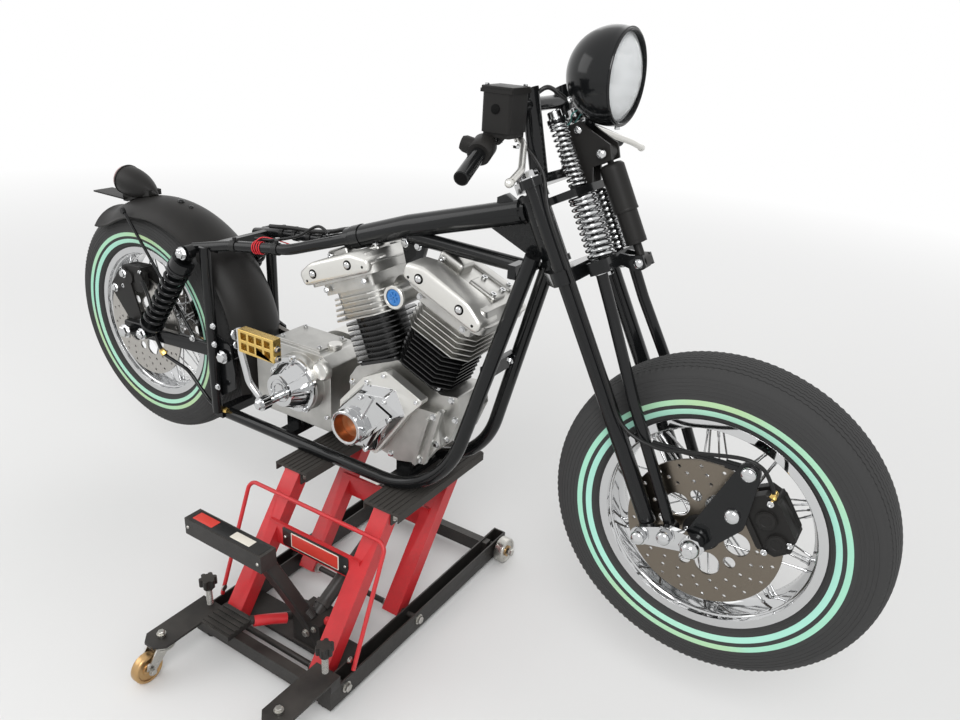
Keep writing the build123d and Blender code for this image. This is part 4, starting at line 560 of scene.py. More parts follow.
LIFT_RED = Finish(
    "lift_red_paint", "lift_red", (0.56, 0.020, 0.026), 0.34, spread=0.06, relief=0.06, wear=0.25,
    worn=(0.14, 0.05, 0.04), dust=0.06, mottle=0.25,
)
LIFT_BLACK = Finish(
    "lift_black_paint", "lift_black", (0.0165, 0.0152, 0.0142), 0.44, spread=0.06, relief=0.06,
    wear=0.1, worn=(0.10, 0.09, 0.08), dust=0.12, specular=0.35, mottle=0.4,
)
PAD_RUBBER = Finish(
    "pad_rubber", "pad_rubber", (0.020, 0.018, 0.016), 0.66, relief=0.1, dust=0.2, specular=0.3
)
ZINC = Finish(
    "zinc_plate", "zinc", (0.50, 0.49, 0.46), 0.30, metallic=1.0, spread=0.1, relief=0.05, dust=0.08
)
CASTER_BRONZE = Finish(
    "caster_bronze", "caster_bronze", (0.38, 0.20, 0.09), 0.42, metallic=0.2, relief=0.12, dust=0.12
)
BLACK_RUBBER = Finish("hose_rubber", "satin_black", (0.009, 0.009, 0.009), 0.40, relief=0.04, specular=0.3)
# Near-black finish, painted as the shade inside bores, slots and counterbores; the reservoir's sight glass
# uses it too
SHADE_AND_BLACK = Finish("dark_bore", "satin_black", (0.003, 0.003, 0.003), 0.7, specular=0.1)
BLUE_PLUG = Finish("blue_plug", "satin_black", (0.03, 0.17, 0.46), 0.40, relief=0.2)
RED_WIRE = Finish("red_wire", "lift_red", (0.60, 0.02, 0.03), 0.40)
TEAL_WIRE = Finish("teal_wire", "satin_black", (0.05, 0.22, 0.20), 0.40)
LABEL_BLACK = Finish("label_black", "lift_black", (0.010, 0.010, 0.010), 0.32)
LABEL_RED = Finish("label_red", "lift_red", (0.62, 0.05, 0.035), 0.32)
LABEL_PALE = Finish("label_pale", "zinc", (0.72, 0.68, 0.60), 0.45)

FINISH_OF_SLOT = {
    finish.slot: finish
    for finish in (
        GLOSS_BLACK, SATIN_BLACK, TYRE_RUBBER, CHROME, FRONT_DISC, CAST_ALLOY, POLISHED_ALLOY,
        BRASS, LAMP_GLASS, LIFT_RED, LIFT_BLACK, PAD_RUBBER, ZINC, CASTER_BRONZE,
    )
}


@dataclass
class Shape:
    """Points and four-sided faces of a new piece.

    Attributes:
        points: The points, one a row.
        faces: Four corner numbers a face.
        slots: Number of each face's finish.
    """

    points: np.ndarray
    faces: np.ndarray
    slots: np.ndarray = field(default=None)

    def __post_init__(self) -> None:
        """Give every face the first finish where none is named."""
        if self.slots is None:
            self.slots = np.zeros(len(self.faces), int)

    def __add__(self, other: "Shape") -> "Shape":
        """Join two shapes into one."""
        return Shape(
            np.vstack([self.points, other.points]),
            np.vstack([self.faces, other.faces + len(self.points)]),
            np.concatenate([self.slots, other.slots]),
        )

    def painted(self, slot: int) -> "Shape":
        """Give the same shape with all its faces in one finish."""
        return Shape(self.points, self.faces, np.full(len(self.faces), slot))

    def mirrored(self) -> "Shape":
        """Join the shape to its mirror image on the motorcycle's other side."""
        return self + Shape(self.points * (1, -1, 1), self.faces[:, ::-1], self.slots)

    def repeated(self, places: Sequence[Vector], axes: Sequence[Vector], sizes: Vector) -> "Shape":
        """Set copies of a shape that stands on its own Z axis along other axes.

        A point (x, y, z) goes to the place plus the size times (x across + y beside + z along).

        Args:
            places: Foot of each copy.
            axes: Direction of each copy, of any length.
            sizes: Factor on each copy.

        Returns:
            All copies as one shape.
        """
        along = unit(axes)
        turn = np.stack([*side_frames(along), along], axis=1)
        return self.carried(places, turn * np.asarray(sizes, float)[:, None, None])

    def carried(self, places: Sequence[Vector], turns: np.ndarray) -> "Shape":
        """Set copies of a shape by a place and three directions each.

        Args:
            places: Where each copy's origin goes.
            turns: Where each copy's X, Y and Z axes point, three rows a copy.

        Returns:
            All copies as one shape.
        """
        points = np.einsum("pi,kij->kpj", self.points, turns)
        points = points + np.asarray(places, float)[:, None, :]
        shift = np.arange(len(points))[:, None, None] * len(self.points)
        faces = (self.faces[None] + shift).reshape(-1, 4)
        return Shape(points.reshape(-1, 3), faces, np.tile(self.slots, len(points)))


def joined(shapes: Sequence[Shape]) -> Shape:
    """Join any number of shapes into one."""
    total = shapes[0]
    for shape in shapes[1:]:
        total = total + shape
    return total


def turned(profile: Sequence[Vector], origin: Vector, axis: Vector, sides: int = 48) -> Shape:
    """Turn a profile about an axis.

    A point at angle a is the origin, plus its height along the axis, plus its radius times
    (cosine a of the first cross direction plus sine a of the second).

    Args:
        profile: Height and radius of each point of the profile.
        origin: A point of the axis.
        axis: The axis's direction.
        sides: How many steps a full turn has.

    Returns:
        The turned surface, closed where the profile ends at radius zero or where it started.
    """
    line = np.asarray(profile, float)
    along = unit(axis)
    first, second = side_frames(along[None])
    angle = np.linspace(0, 2 * math.pi, sides, endpoint=False)[:, None]
    ring = np.cos(angle) * first + np.sin(angle) * second
    points = np.asarray(origin, float) + line[:, None, :1] * along + line[:, None, 1:] * ring[None]
    return Shape(points.reshape(-1, 3), grid_faces(len(line), sides, False, True))


def plate(
    outline: np.ndarray, origin: Vector, right: Vector, up: Vector, depth: float, edge: float = 1.0
) -> Shape:
    """Raise a convex outline to a plate whose outer edge is rounded.

    The outline shrinks inwards by edge times (1 - cosine a) while the height grows by edge times
    sine a, with a from zero to a quarter turn.

    Args:
        outline: The outline's points, anticlockwise.
        origin: Where the outline's origin goes.
        right: Direction of the outline's first coordinate.
        up: Direction of its second.
        depth: Height of the plate along the cross product of the two.
        edge: Radius of the outer edge.

    Returns:
        The closed plate.
    """
    right, up = unit(right), unit(up)
    run = unit(np.roll(outline, -1, axis=0) - outline)
    normal = np.stack([run[:, 1], -run[:, 0]], axis=1)
    normal = unit(normal + np.roll(normal, 1, axis=0))
    turn = np.linspace(0, math.pi / 2, 4)
    heights = np.concatenate([[0, 0], depth - edge + edge * np.sin(turn), [depth]])[:, None, None]
    insets = np.concatenate([[0, 0], edge * (1 - np.cos(turn)), [0]])[:, None, None]
    flat = outline[None] - insets * normal[None]
    flat[[0, -1]] = outline.mean(axis=0)
    points = np.asarray(origin, float) + flat[..., :1] * right + flat[..., 1:] * up
    points = points + heights * np.cross(right, up)
    return Shape(points.reshape(-1, 3), grid_faces(len(heights), len(outline), False, True))


def capped(middle: np.ndarray, first: np.ndarray, second: np.ndarray, radius: float, sides: int) -> Shape:
    """Carry a circle along a chain and close both ends.

    A point at angle a is the middle plus the radius times (cosine a of the first direction plus
    sine a of the second).

    Args:
        middle: The chain's points.
        first: A direction across the chain at each point.
        second: The other one.
        radius: The circle's radius.
        sides: How many points the circle has.

    Returns:
        The closed tube.
    """
    angle = np.linspace(0, 2 * math.pi, sides, endpoint=False)[None, :, None]
    middle, first, second = (np.vstack([row[:1], row, row[-1:]])[:, None] for row in (middle, first, second))
    reach = np.full(middle.shape, radius)
    reach[[0, -1]] = 0.0
    points = middle + reach * (np.cos(angle) * first + np.sin(angle) * second)
    return Shape(points.reshape(-1, 3), grid_faces(len(middle), sides, False, True))


def pipe(points: Sequence[Vector], radius: float, sides: int = 12, steps: int = 8) -> Shape:
    """Carry a circle along a rounded chain of points.

    Args:
        points: The chain.
        radius: The circle's radius.
        sides: How many points the circle has.
        steps: How many steps each span has.

    Returns:
        The closed tube.
    """
    path = smooth_line(points, steps)
    tangent = unit(np.gradient(path, axis=0))
    least = np.eye(3)[np.argmin(np.abs(tangent).max(axis=0))]
    first = unit(np.cross(tangent, least))
    return capped(path, first, np.cross(tangent, first), radius, sides)


def coil(
    foot: Vector, head: Vector, radius: float, wire: float, turns: float, sides: int = 10, steps: int = 28
) -> Shape:
    """Wind a wire round the line from foot to head.

    At share t the wire's middle stands at the coil's radius round the line, at angle turns times
    t, and its height eases in and out over the first and last turn, so the ends lie flat.

    Args:
        foot: Middle of the coil's lower end.
        head: Middle of the coil's upper end.
        radius: Distance from the line to the wire's middle.
        wire: The wire's radius.
        turns: How many turns it makes.
        sides: How many points the wire's circle has.
        steps: How many steps a turn has.

    Returns:
        The closed wire.
    """
    foot = np.asarray(foot, float)
    line = np.asarray(head, float) - foot
    along = unit(line)
    first, second = side_frames(along[None])
    t = np.linspace(0, 1, int(turns * steps) + 1)[:, None]
    angle = 2 * math.pi * turns * t
    pace = np.clip(np.minimum(t, 1 - t) * turns, 0.35, 1.0)
    rise = np.vstack([[[0.0]], np.cumsum((pace[1:] + pace[:-1]) / 2, axis=0)])
    rise = wire + rise / rise[-1] * (np.linalg.norm(line) - 2 * wire)
    out = np.cos(angle) * first + np.sin(angle) * second
    return capped(foot + rise * along + radius * out, out, np.tile(along, (len(out), 1)), wire, sides)


def slab(low: Vector, high: Vector, edge: float = 0.8) -> Shape:
    """Make a closed box between two corners, its upper edges rounded."""
    low, high = np.asarray(low, float), np.asarray(high, float)
    size = high - low
    middle = (low + high) / 2
    outline = rectangle(size[0], size[1], min(edge * 1.5, min(size[:2]) / 3))
    return plate(outline, (middle[0], middle[1], low[2]), FORWARD, LEFT, size[2], min(edge, size[2] / 2))


class Head(Enum):
    """Shapes of a fastener's head, and a flat disc for painted shade round one, as (height, radius) profiles
    with their sides.
    """

    HEX = (
        (((0, 0), (0, 1.3), (0.16, 1.3), (0.16, 0)), 24),
        (((0.16, 0), (0.16, 1.0), (0.78, 1.0), (0.9, 0.86), (0.9, 0)), 6),
    )
    SOCKET = (
        (((0, 0), (0, 0.96), (0.08, 1.0), (0.92, 1.0), (1.0, 0.92), (1.0, 0.56), (0.5, 0.52), (0.5, 0)), 24),
    )
    ACORN = (
        (((0, 0), (0, 1.0), (0.5, 1.0), (0.56, 0.9), (0.56, 0)), 6),
        (((0.5, 0), (0.5, 0.82), (0.8, 0.78), (1.1, 0.62), (1.28, 0.38), (1.34, 0)), 24),
    )
    DOME = (
        (((0, 0), (0, 1.0), (0.2, 1.0), (0.42, 0.92), (0.6, 0.74), (0.72, 0.46), (0.78, 0.2), (0.79, 0)), 28),
    )
    # A flat disc, not a head: painted as the shade of a counterbore
    SPOT = ((((0, 0), (0, 1.0), (0.03, 1.0), (0.03, 0)), 28),)

    def row(self, axis: Vector, size: float, *places: Vector) -> Shape:
        """Set equal heads that point the same way.

        Args:
            axis: The heads' direction.
            size: Half the width of a head.
            places: The foot of each.

        Returns:
            All heads as one shape.
        """
        head = joined([turned(profile, ORIGIN, TOP, sides) for profile, sides in self.value])
        return head.repeated(places, np.tile(axis, (len(places), 1)), np.full(len(places), size))


class Workshop:
    """Turns CAD nodes and new shapes into finished pieces on their bodies."""

    def __init__(self, frame: dict) -> None:
        """Read which body and slot each node has.
        """
        record = frame["record"]
        bodies = record["behaviour"]["bodies"]
        self.nodes: dict[str, bpy.types.Object] = frame["nodes"]
        self.body = {node: body for body, nodes in bodies.items() for node in nodes}
        self.slot = {part["node"]: part["material_slot"] for part in record["subparts"]}
        self.dressed: set[str] = set()

    def _register(
        self, name: str, mesh: bpy.types.Mesh, body: str, finishes: Sequence[Finish]
    ) -> bpy.types.Object:
        """Make an object of a mesh, paint it and set it on its body.

        Args:
            name: The piece's name.
            mesh: Its mesh, in metres and without materials.
            body: The body it rides on.
            finishes: Its finishes, in the order of the faces' numbers.

        Returns:
            The new object.
        """
        for finish in finishes:
            mesh.materials.append(finish.material())
        mesh.polygons.foreach_set("use_smooth", np.ones(len(mesh.polygons), bool))
        mesh.set_sharp_from_angle(angle=SMOOTH_ANGLE)
        piece = bpy.data.objects.new(name, mesh)
        bpy.context.scene.collection.objects.link(piece)
        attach(piece, body)
        LOG.info("%s: %d faces", name, len(mesh.polygons))
        return piece

    def dress(
        self, node: str, finish: Finish | None = None, bevel: float = 0.8,
        inner: tuple[Finish, float] | None = None,
    ) -> None:
        """Finish a clean copy of a CAD node, with its sharp edges broken.

        Args:
            node: The CAD node.
            finish: Its finish, or None for the one of its slot.
            bevel: Width of the broken edges, or 0 for none.
            inner: Another finish, and the place along Y left of which its faces lie.
        """
        mesh = self.nodes[node].data.copy()
        mesh.materials.clear()
        work = bmesh.new()
        work.from_mesh(mesh)
        bmesh.ops.remove_doubles(work, verts=work.verts, dist=MERGE)
        bmesh.ops.dissolve_limit(work, angle_limit=FLAT_ANGLE, verts=work.verts, edges=work.edges)
        finishes = [finish or FINISH_OF_SLOT[self.slot[node]]]
        if inner:
            finishes.append(inner[0])
            for face in work.faces:
                face.material_index = int(face.calc_center_median().y > inner[1] * MM)
        work.to_mesh(mesh)
        work.free()
        piece = self._register(node + "_finished", mesh, self.body[node], finishes)
        if bevel:
            modifier = piece.modifiers.new("broken edges", "BEVEL")
            modifier.width = bevel * MM
            modifier.segments = 2
            modifier.limit_method = "ANGLE"
            modifier.angle_limit = BEVEL_ANGLE
            modifier.harden_normals = True
        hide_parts(node)
        self.dressed.add(node)

    def make(
        self, name: str, shape: Shape, body: str, finishes: Sequence[Finish], replaces: Sequence[str] = ()
    ) -> None:
        """Finish a new shape, with doubles merged and its faces turned outwards.

        Args:
            name: The piece's name.
            shape: Its shape.
            body: The body it rides on.
            finishes: Its finishes, in the order of the shape's slots.
            replaces: The CAD nodes that it stands for.
        """
        mesh = bpy.data.meshes.new(name)
        mesh.vertices.add(len(shape.points))
        mesh.vertices.foreach_set("co", (shape.points * MM).ravel())
        mesh.loops.add(shape.faces.size)
        mesh.loops.foreach_set("vertex_index", shape.faces.ravel())
        mesh.polygons.add(len(shape.faces))
        mesh.polygons.foreach_set("loop_start", np.arange(0, shape.faces.size, 4))
        mesh.polygons.foreach_set("material_index", shape.slots)
        mesh.update(calc_edges=True)
        work = bmesh.new()
        work.from_mesh(mesh)
        bmesh.ops.remove_doubles(work, verts=work.verts, dist=MERGE)
        bmesh.ops.recalc_face_normals(work, faces=work.faces)
        work.to_mesh(mesh)
        work.free()
        piece = self._register(name, mesh, body, finishes)
        if replaces:
            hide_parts(*replaces)
            self.dressed.update(replaces)


class Assembly:
    """Pieces that belong together and ride on one body where no other is named.

    Attributes:
        BODY: The body.
        DRESSED: Rows of a CAD node, its finish and the width of its broken edges.
    """

    BODY = "root"
    DRESSED: tuple[tuple[str, Finish, float], ...] = ()

    def __init__(self, shop: Workshop) -> None:
        """Hold the workshop that makes the pieces."""
        self.shop = shop
        self.body = self.BODY

    def make(self, name: str, shape: Shape, *finishes: Finish, body: str = "") -> None:
        """Finish a new shape on the assembly's body or on a named one."""
        self.shop.make(name, shape, body or self.body, finishes)

    def stand_in(self, name: str, shape: Shape, node: str, *finishes: Finish) -> None:
        """Finish a new shape that stands for a CAD node on the assembly's body."""
        self.shop.make(name, shape, self.body, finishes, [node])

    def dress_nodes(self) -> None:
        """Finish the CAD nodes of the table."""
        for node, finish, bevel in self.DRESSED:
            self.shop.dress(node, finish, bevel)


class Wheel(Assembly):
    """Spoked wheel with its striped tyre.

    Attributes:
        CROWN: Half of the tyre's section as (across, radius), from the crown to the bead.
        RIBS: Where the tread's grooves lie across the tyre.
        GROOVE: Depth and half width of a groove.
        TEETH: How many zigzags a groove has.
        ZIGZAG: Half of a zigzag's reach.
        TREAD_END: How far along the section the tread has ended.
        SWAY: How far along it the zigzag has ended, and over what length it fades out.
        STRIPES: Outer radius, inner radius and finish of each stripe.
        RIDGES: Radius of each ridge on the sidewall.
        RIDGE_HALF: Half a ridge's width.
        RAISED: How far the stripes and the ridges stand out.
        SPOKES: How many spokes leave each flange.
        NIPPLES: Radius of the spokes' outer ends and their distance from the middle.
        FLANGES: The same for their inner ends.
        LEAN: Angle and side step by which neighbouring spokes lean apart.
    """

    CROWN = (
        (0, 324), (13, 323.6), (32, 319.6), (46, 311), (55, 299), (60.5, 285), (63.2, 266), (62.4, 247),
        (58.5, 230), (52, 221), (48, 217.6), (46.6, 212),
    )
    RIBS = (0.0, 8.5, 17.0, 25.5, 34.0, 42.5)
    GROOVE = (3.0, 1.1)
    TEETH = 150
    ZIGZAG = 1.7
    TREAD_END = 62
    SWAY = (58, 8)
    STRIPES = ((259.0, 248.6, 2), (241.0, 230.0, 1))
    RIDGES = (298, 291, 284, 276, 269, 222)
    RIDGE_HALF = 0.9
    RAISED = (0.45, 0.85)
    SPOKES = 20
    NIPPLES = (187.5, 9)
    FLANGES = (36, 34)
    LEAN = (42.0, 3)

    def __init__(self, shop: Workshop, end: End, disc: Finish) -> None:
        """Choose the wheel.

        Args:
            shop: The workshop that makes the pieces.
            end: The wheel's end of the motorcycle.
            disc: The brake disc's finish.
        """
        super().__init__(shop)
        self.label, self.axle, self.disc = end.label, end.axle, disc
        self.body = end.label + "_wheel"

    def half_profile(self) -> tuple[np.ndarray, np.ndarray, np.ndarray]:
        """Work out half of the tyre's section, from the crown to the bead.

        Returns:
            Distance across, radius and place along the section of each row of points.
        """
        crown = smooth_line(self.CROWN, 10)
        reach = path_length(crown)
        depth, half = self.GROOVE
        marks, drops = [0.0], [depth]
        for rib in self.RIBS:
            for shift, drop in ((-half, 0.0), (-half * 0.7, depth), (half * 0.7, depth), (half, 0.0)):
                if rib + shift > 0:
                    marks.append(rib + shift)
                    drops.append(drop)
        plain = np.arange(marks[-1] + 4, reach[-1] - 1.0, 3.2)
        stations = np.concatenate([marks, plain, [reach[-1]]])
        drop = np.concatenate([drops, np.zeros(len(plain) + 1)])
        across = np.interp(stations, reach, crown[:, 0])
        return across, np.interp(stations, reach, crown[:, 1]) - drop, stations

    def tyre(self) -> None:
        """Build the tyre with its zigzag grooves, its ridges and its two stripes a side.

        A point at angle a lies across the tyre by its row's distance plus a triangle wave of a,
        faded out beyond the tread, and its radius falls by the groove's depth.
        """
        across, radius, stations = self.half_profile()
        half = self.RIDGE_HALF
        bands = self.STRIPES + tuple((r + half, r - half, -1) for r in self.RIDGES)
        edges = np.array([edge for band in bands for edge in band[:2]])
        side = stations > self.TREAD_END
        side_reach = np.interp(-edges, -radius[side], stations[side])
        rows = np.unique(np.concatenate([stations, side_reach, side_reach - 0.25, side_reach + 0.25]))
        across = np.interp(rows, stations, across)
        radius = np.interp(rows, stations, radius)
        level = np.zeros(len(rows), int)
        for outer, inner, number in bands:
            level[(radius < outer + 0.01) & (radius > inner - 0.01) & (rows > self.TREAD_END)] = number
        slope = unit(np.stack([np.gradient(across), np.gradient(radius)], axis=1))
        raised = self.RAISED[0] * (level > 0) + self.RAISED[1] * (level < 0)
        across = across - raised * slope[:, 1]
        radius = radius + raised * slope[:, 0]
        stripe = np.where(level[1:] == level[:-1], np.maximum(level[1:], 0), 0)
        order = np.concatenate([np.arange(len(rows))[::-1], np.arange(1, len(rows))])
        sign = np.concatenate([-np.ones(len(rows)), np.ones(len(rows) - 1)])
        sway = np.clip((self.SWAY[0] - rows[order]) / self.SWAY[1], 0, 1)[:, None]
        angle = np.linspace(0, 2 * math.pi, self.TEETH * 2, endpoint=False)
        wave = np.abs((angle * self.TEETH / (2 * math.pi)) % 1 * 4 - 2) - 1
        y = (across[order] * sign)[:, None] + self.ZIGZAG * sway * wave
        points = self.axle + radius[order][:, None, None] * heading(np.degrees(angle))
        points = points + y[..., None] * ACROSS
        faces = grid_faces(len(y), len(angle), True, True)
        slots = np.repeat(np.concatenate([stripe[::-1], stripe, [0]]), len(angle))
        shape = Shape(points.reshape(-1, 3), faces, slots)
        name = self.label + "_tyre"
        self.stand_in(name + "_ribbed", shape, name, TYRE_RUBBER, STRIPE, OUTER_STRIPE)

    def nipples(self) -> None:
        """Set a nipple where each spoke meets the rim, and a valve stem."""
        count = np.arange(self.SPOKES)
        step = 360 / self.SPOKES
        lean = np.where(count % 2, 1, -1)
        sweep, cross = self.LEAN
        (rim_radius, rim_y), (hub_radius, hub_y) = self.NIPPLES, self.FLANGES
        flange = np.array([-1, 1])[:, None, None]
        beside = flange * (cross * lean)[:, None] * ACROSS
        rim = rim_radius * heading(step * count + sweep * lean) + flange * rim_y * ACROSS + beside
        hub = hub_radius * heading(step * count) + flange * hub_y * ACROSS + beside
        feet = (self.axle + rim).reshape(-1, 3)
        axes = (hub - rim).reshape(-1, 3)
        barrel = turned([(0, 0), (0, 3.8), (3, 3.8), (4, 3.0), (16, 2.8), (17, 0)], ORIGIN, TOP, 10)
        profile = [(0, 0), (0, 4), (10, 4), (11, 2.8), (30, 2.8), (30, 4), (38, 4), (39, 0)]
        stem = turned(profile, self.axle + (-62, 0, -176), (0.33, 0, 0.94), 16)
        shape = barrel.repeated(feet, axes, np.ones(len(feet))) + stem
        self.make(self.label + "_spoke_nipples", shape, CHROME)

    def carrier(self) -> None:
        """Bolt the disc to the hub through a raised carrier ring."""
        profile = [(0.2, 18), (0.2, 36), (2.4, 36), (3, 35), (3, 19), (2.4, 18), (0.2, 18)]
        ring = turned(profile, self.axle - 71 * ACROSS, RIGHT, 60)
        places = self.axle - 74 * ACROSS + 27 * heading(72.0 * np.arange(5) + 36)
        bolts = Head.SOCKET.row(RIGHT, 5.0, *places)
        self.make(self.label + "_disc_carrier", ring + bolts.painted(1), SATIN_BLACK, CHROME)

    def build(self) -> None:
        """Build and dress the whole wheel."""
        self.tyre()
        self.shop.dress(self.label + "_rim", CHROME, 0.6)
        self.shop.dress(self.label + "_hub_and_spokes", CHROME, 0)
        self.shop.dress(self.label + "_brake_disc", self.disc, 0.4)
        self.nipples()
        self.carrier()


class Fork(Assembly):
    """Springer fork with its springs, nuts, front brake, bars and their cables.

    Attributes:
        ROD_V: How far ahead of the steering axis the spring rods stand.
        ROD_Y: How far to each side they stand.
        RIGID_V: How far ahead the rigid legs stand.
        RIGID_Y: How far to each side they stand.
        DAMPER_V: How far ahead the damper stands.
        ROCKER_EYES: Places ahead and up of the rockers' eyes.
        ROCKER_Y: Where the rockers' outer faces lie.
        CALIPER: Angle of the front caliper about the axle.
        LAMP: Middle of the headlamp's front.
        BAR_END: Middle of the bar's right end.
        BAR_KNEE: Where the bar's right grip starts.
    """

    BODY = "fork"
    DRESSED = (
        ("fork_rockers_and_axle", CHROME, 0.8),
        ("fork_damper", SATIN_BLACK, 0.8),
        ("damper_bracket", SATIN_BLACK, 0.8),
        ("front_caliper", SATIN_BLACK, 1.4),
        ("master_cylinder", SATIN_BLACK, 1.4),
    )
    ROD_V, ROD_Y = 117.0, 40.0
    RIGID_V, RIGID_Y = 61.0, 93.0
    DAMPER_V = 172.0
    ROCKER_EYES = ((52.8, -635.5), (103.8, -639.5))
    ROCKER_Y = 123.5
    CALIPER = 34
    LAMP = (512, 0, 1317)
    BAR_END = np.array([391, -306, 1166.0])
    BAR_KNEE = np.array([359, -185, 1205.0])

    def rod(self, up: float) -> np.ndarray:
        """Give the place up the left spring rod."""
        return fork_point(self.ROD_V, self.ROD_Y, up)

    def grip(self) -> np.ndarray:
        """Give the direction that the right grip points in."""
        return unit(self.BAR_END - self.BAR_KNEE)

    def springs(self) -> None:
        """Wind the four chromed springs between their bridges."""
        lower = coil(self.rod(-123.7), self.rod(-5.3), 22.4, 3.6, 11)
        upper = coil(self.rod(9.3), self.rod(127.7), 14.6, 2.9, 13)
        self.stand_in("fork_springs_wound", (lower + upper).mirrored(), "fork_springs", CHROME)

    def nuts(self) -> None:
        """Set the chromed nuts, sleeves and domes of rods, crown, rockers, damper and axle."""
        eyes = [(fork_point(v, self.ROCKER_Y, u), fork_point(v, 132, u)) for v, u in self.ROCKER_EYES]
        sleeve = [(133, 0), (133, 17.6), (136, 17.6), (137, 13.2), (148, 13.0), (149.2, 11.5), (149.2, 0)]
        damper = (fork_point(self.DAMPER_V, 25.3, 50), fork_point(self.DAMPER_V, 20.3, -155))
        legs = (self.rod(-148), fork_point(self.RIGID_V, self.RIGID_Y, -146))
        shape = joined([
            Head.HEX.row(UPWARD, 15.5, fork_point(self.RIGID_V, self.RIGID_Y, 52)),
            Head.HEX.row(-UPWARD, 12.0, *legs),
            Head.HEX.row(-UPWARD, 9.0, fork_point(self.ROD_V + 4, 70, -148)),
            Head.HEX.row(LEFT, 14.0, *(eye for eye, _ in eyes)),
            Head.DOME.row(LEFT, 13.5, *(cap for _, cap in eyes)),
            Head.DOME.row(UPWARD, 9.5, self.rod(143)),
            Head.DOME.row(LEFT, 9.5, *damper),
            Head.DOME.row(LEFT, 8.0, fork_point(142, 20.3, 104)),
            Head.ACORN.row(LEFT, 22.5, End.FRONT.axle + self.ROCKER_Y * ACROSS),
            turned(sleeve, self.rod(0), UPWARD, 36),
        ])
        centre = Head.HEX.row(UPWARD, 23.0, fork_point(0, 0, 52))
        self.make("fork_nuts", shape.mirrored() + centre, CHROME)

    def damper_trim(self) -> None:
        """Ring the damper where its cover ends, and round its shoulder and foot."""
        profiles = (
            [(18, 22.6), (22, 22.4), (26, 20.8), (29, 17.5), (30, 12), (30, 0), (18, 0), (18, 22.6)],
            [(-60, 22.7), (-57, 23.2), (-55, 22.7), (-60, 22.7)],
            [(-121, 0), (-121, 14), (-119, 18.5), (-114, 19.8), (-110, 19.6), (-110, 0)],
        )
        foot = fork_point(self.DAMPER_V, 0, 0)
        rings = [turned(profile, foot, UPWARD) for profile in profiles]
        self.make("damper_rings", joined(rings), SATIN_BLACK)

    def front_brake(self) -> None:
        """Dress the front caliper with its bolts, ribs, fitting and hose."""
        out, along = heading(self.CALIPER), heading(self.CALIPER + 90)
        face = End.FRONT.axle - 98 * ACROSS
        holes = [face + r * out + s * along for r, s in ((112, 44), (112, -44), (160, 40), (160, -40))]
        shape = joined([
            Head.SOCKET.row(RIGHT, 6.0, *holes),
            Head.DOME.row(RIGHT, 14.5, (872, -106, 712), (860, -106, 622)),
            Head.DOME.row(RIGHT, 15.0, (806, -106, 545)),
            Head.HEX.row(LEFT, 9.0, (872, -100, 712), (860, -98, 622)),
        ])
        self.make("front_brake_bolts", shape, CHROME)
        piston = [(5, 0), (5, 17), (7.5, 16), (8.2, 13.5), (8.2, 10), (7.4, 9), (7.4, 0)]
        rings = [turned(piston, face + 140 * out + place * along, RIGHT, 40) for place in (-34, 12)]
        web = plate(rectangle(74, 10, 4), face + 108 * out, along, np.cross(RIGHT, along), 5, 1.5)
        self.make("front_caliper_casting", joined(rings) + web, SATIN_BLACK)
        banjo = face + 166 * out + 48 * along + (0, 10, 0)
        hose = [
            banjo, banjo + (-6, -14, 26), (892, -112, 734), (856, -116, 742), (780, -110, 722),
            (706, -112, 708), fork_point(88, -114, -420), fork_point(86, -114, -330),
            fork_point(86, -114, -160), fork_point(84, -112, -20), fork_point(86, -92, 60),
            fork_point(70, -110, 130), (372, -150, 1236),
        ]
        fitting = turned(drum(-8, 8, 6), banjo, RIGHT, 20)
        self.make("front_brake_hose", pipe(hose, 3.6, 10, 12) + fitting.painted(1), BLACK_RUBBER, BRASS)

    def lamp_glass(self) -> None:
        """Build the lamp's fluted glass.

        The outer face is a sphere's cap. The inner face swells by a cosine of the sideways place,
        so the flutes stand upright, and the swelling fades out towards the edge.
        """
        bulge, reach, sides = 24.0, 75.0, 288
        sphere = (bulge**2 + reach**2) / (2 * bulge)
        radius = np.concatenate([[0.0], np.linspace(1.0, reach, 70)])[:, None]
        angle = np.linspace(0, 2 * math.pi, sides, endpoint=False)[None, :]
        side, rise = radius * np.cos(angle), radius * np.sin(angle)
        outer = np.sqrt(sphere**2 - radius**2) - sphere + bulge + 0 * angle
        fade = np.clip((72 - radius) / 6, 0, 1)
        pitch = np.where(np.abs(rise) < 30, 5.0, 7.5)
        waves = 2.8 * np.cos(2 * math.pi * side / pitch) + 0.8 * np.cos(2 * math.pi * rise / 26)
        layers = [np.stack([depth, side, rise], axis=-1) for depth in (outer, outer - 5.4 + fade * waves)]
        points = np.concatenate([layers[0], layers[1][::-1]]) + self.LAMP
        glass = Shape(points.reshape(-1, 3), grid_faces(len(points), sides, False, True))
        self.stand_in("headlamp_glass", glass, "headlamp_lens", LAMP_GLASS)

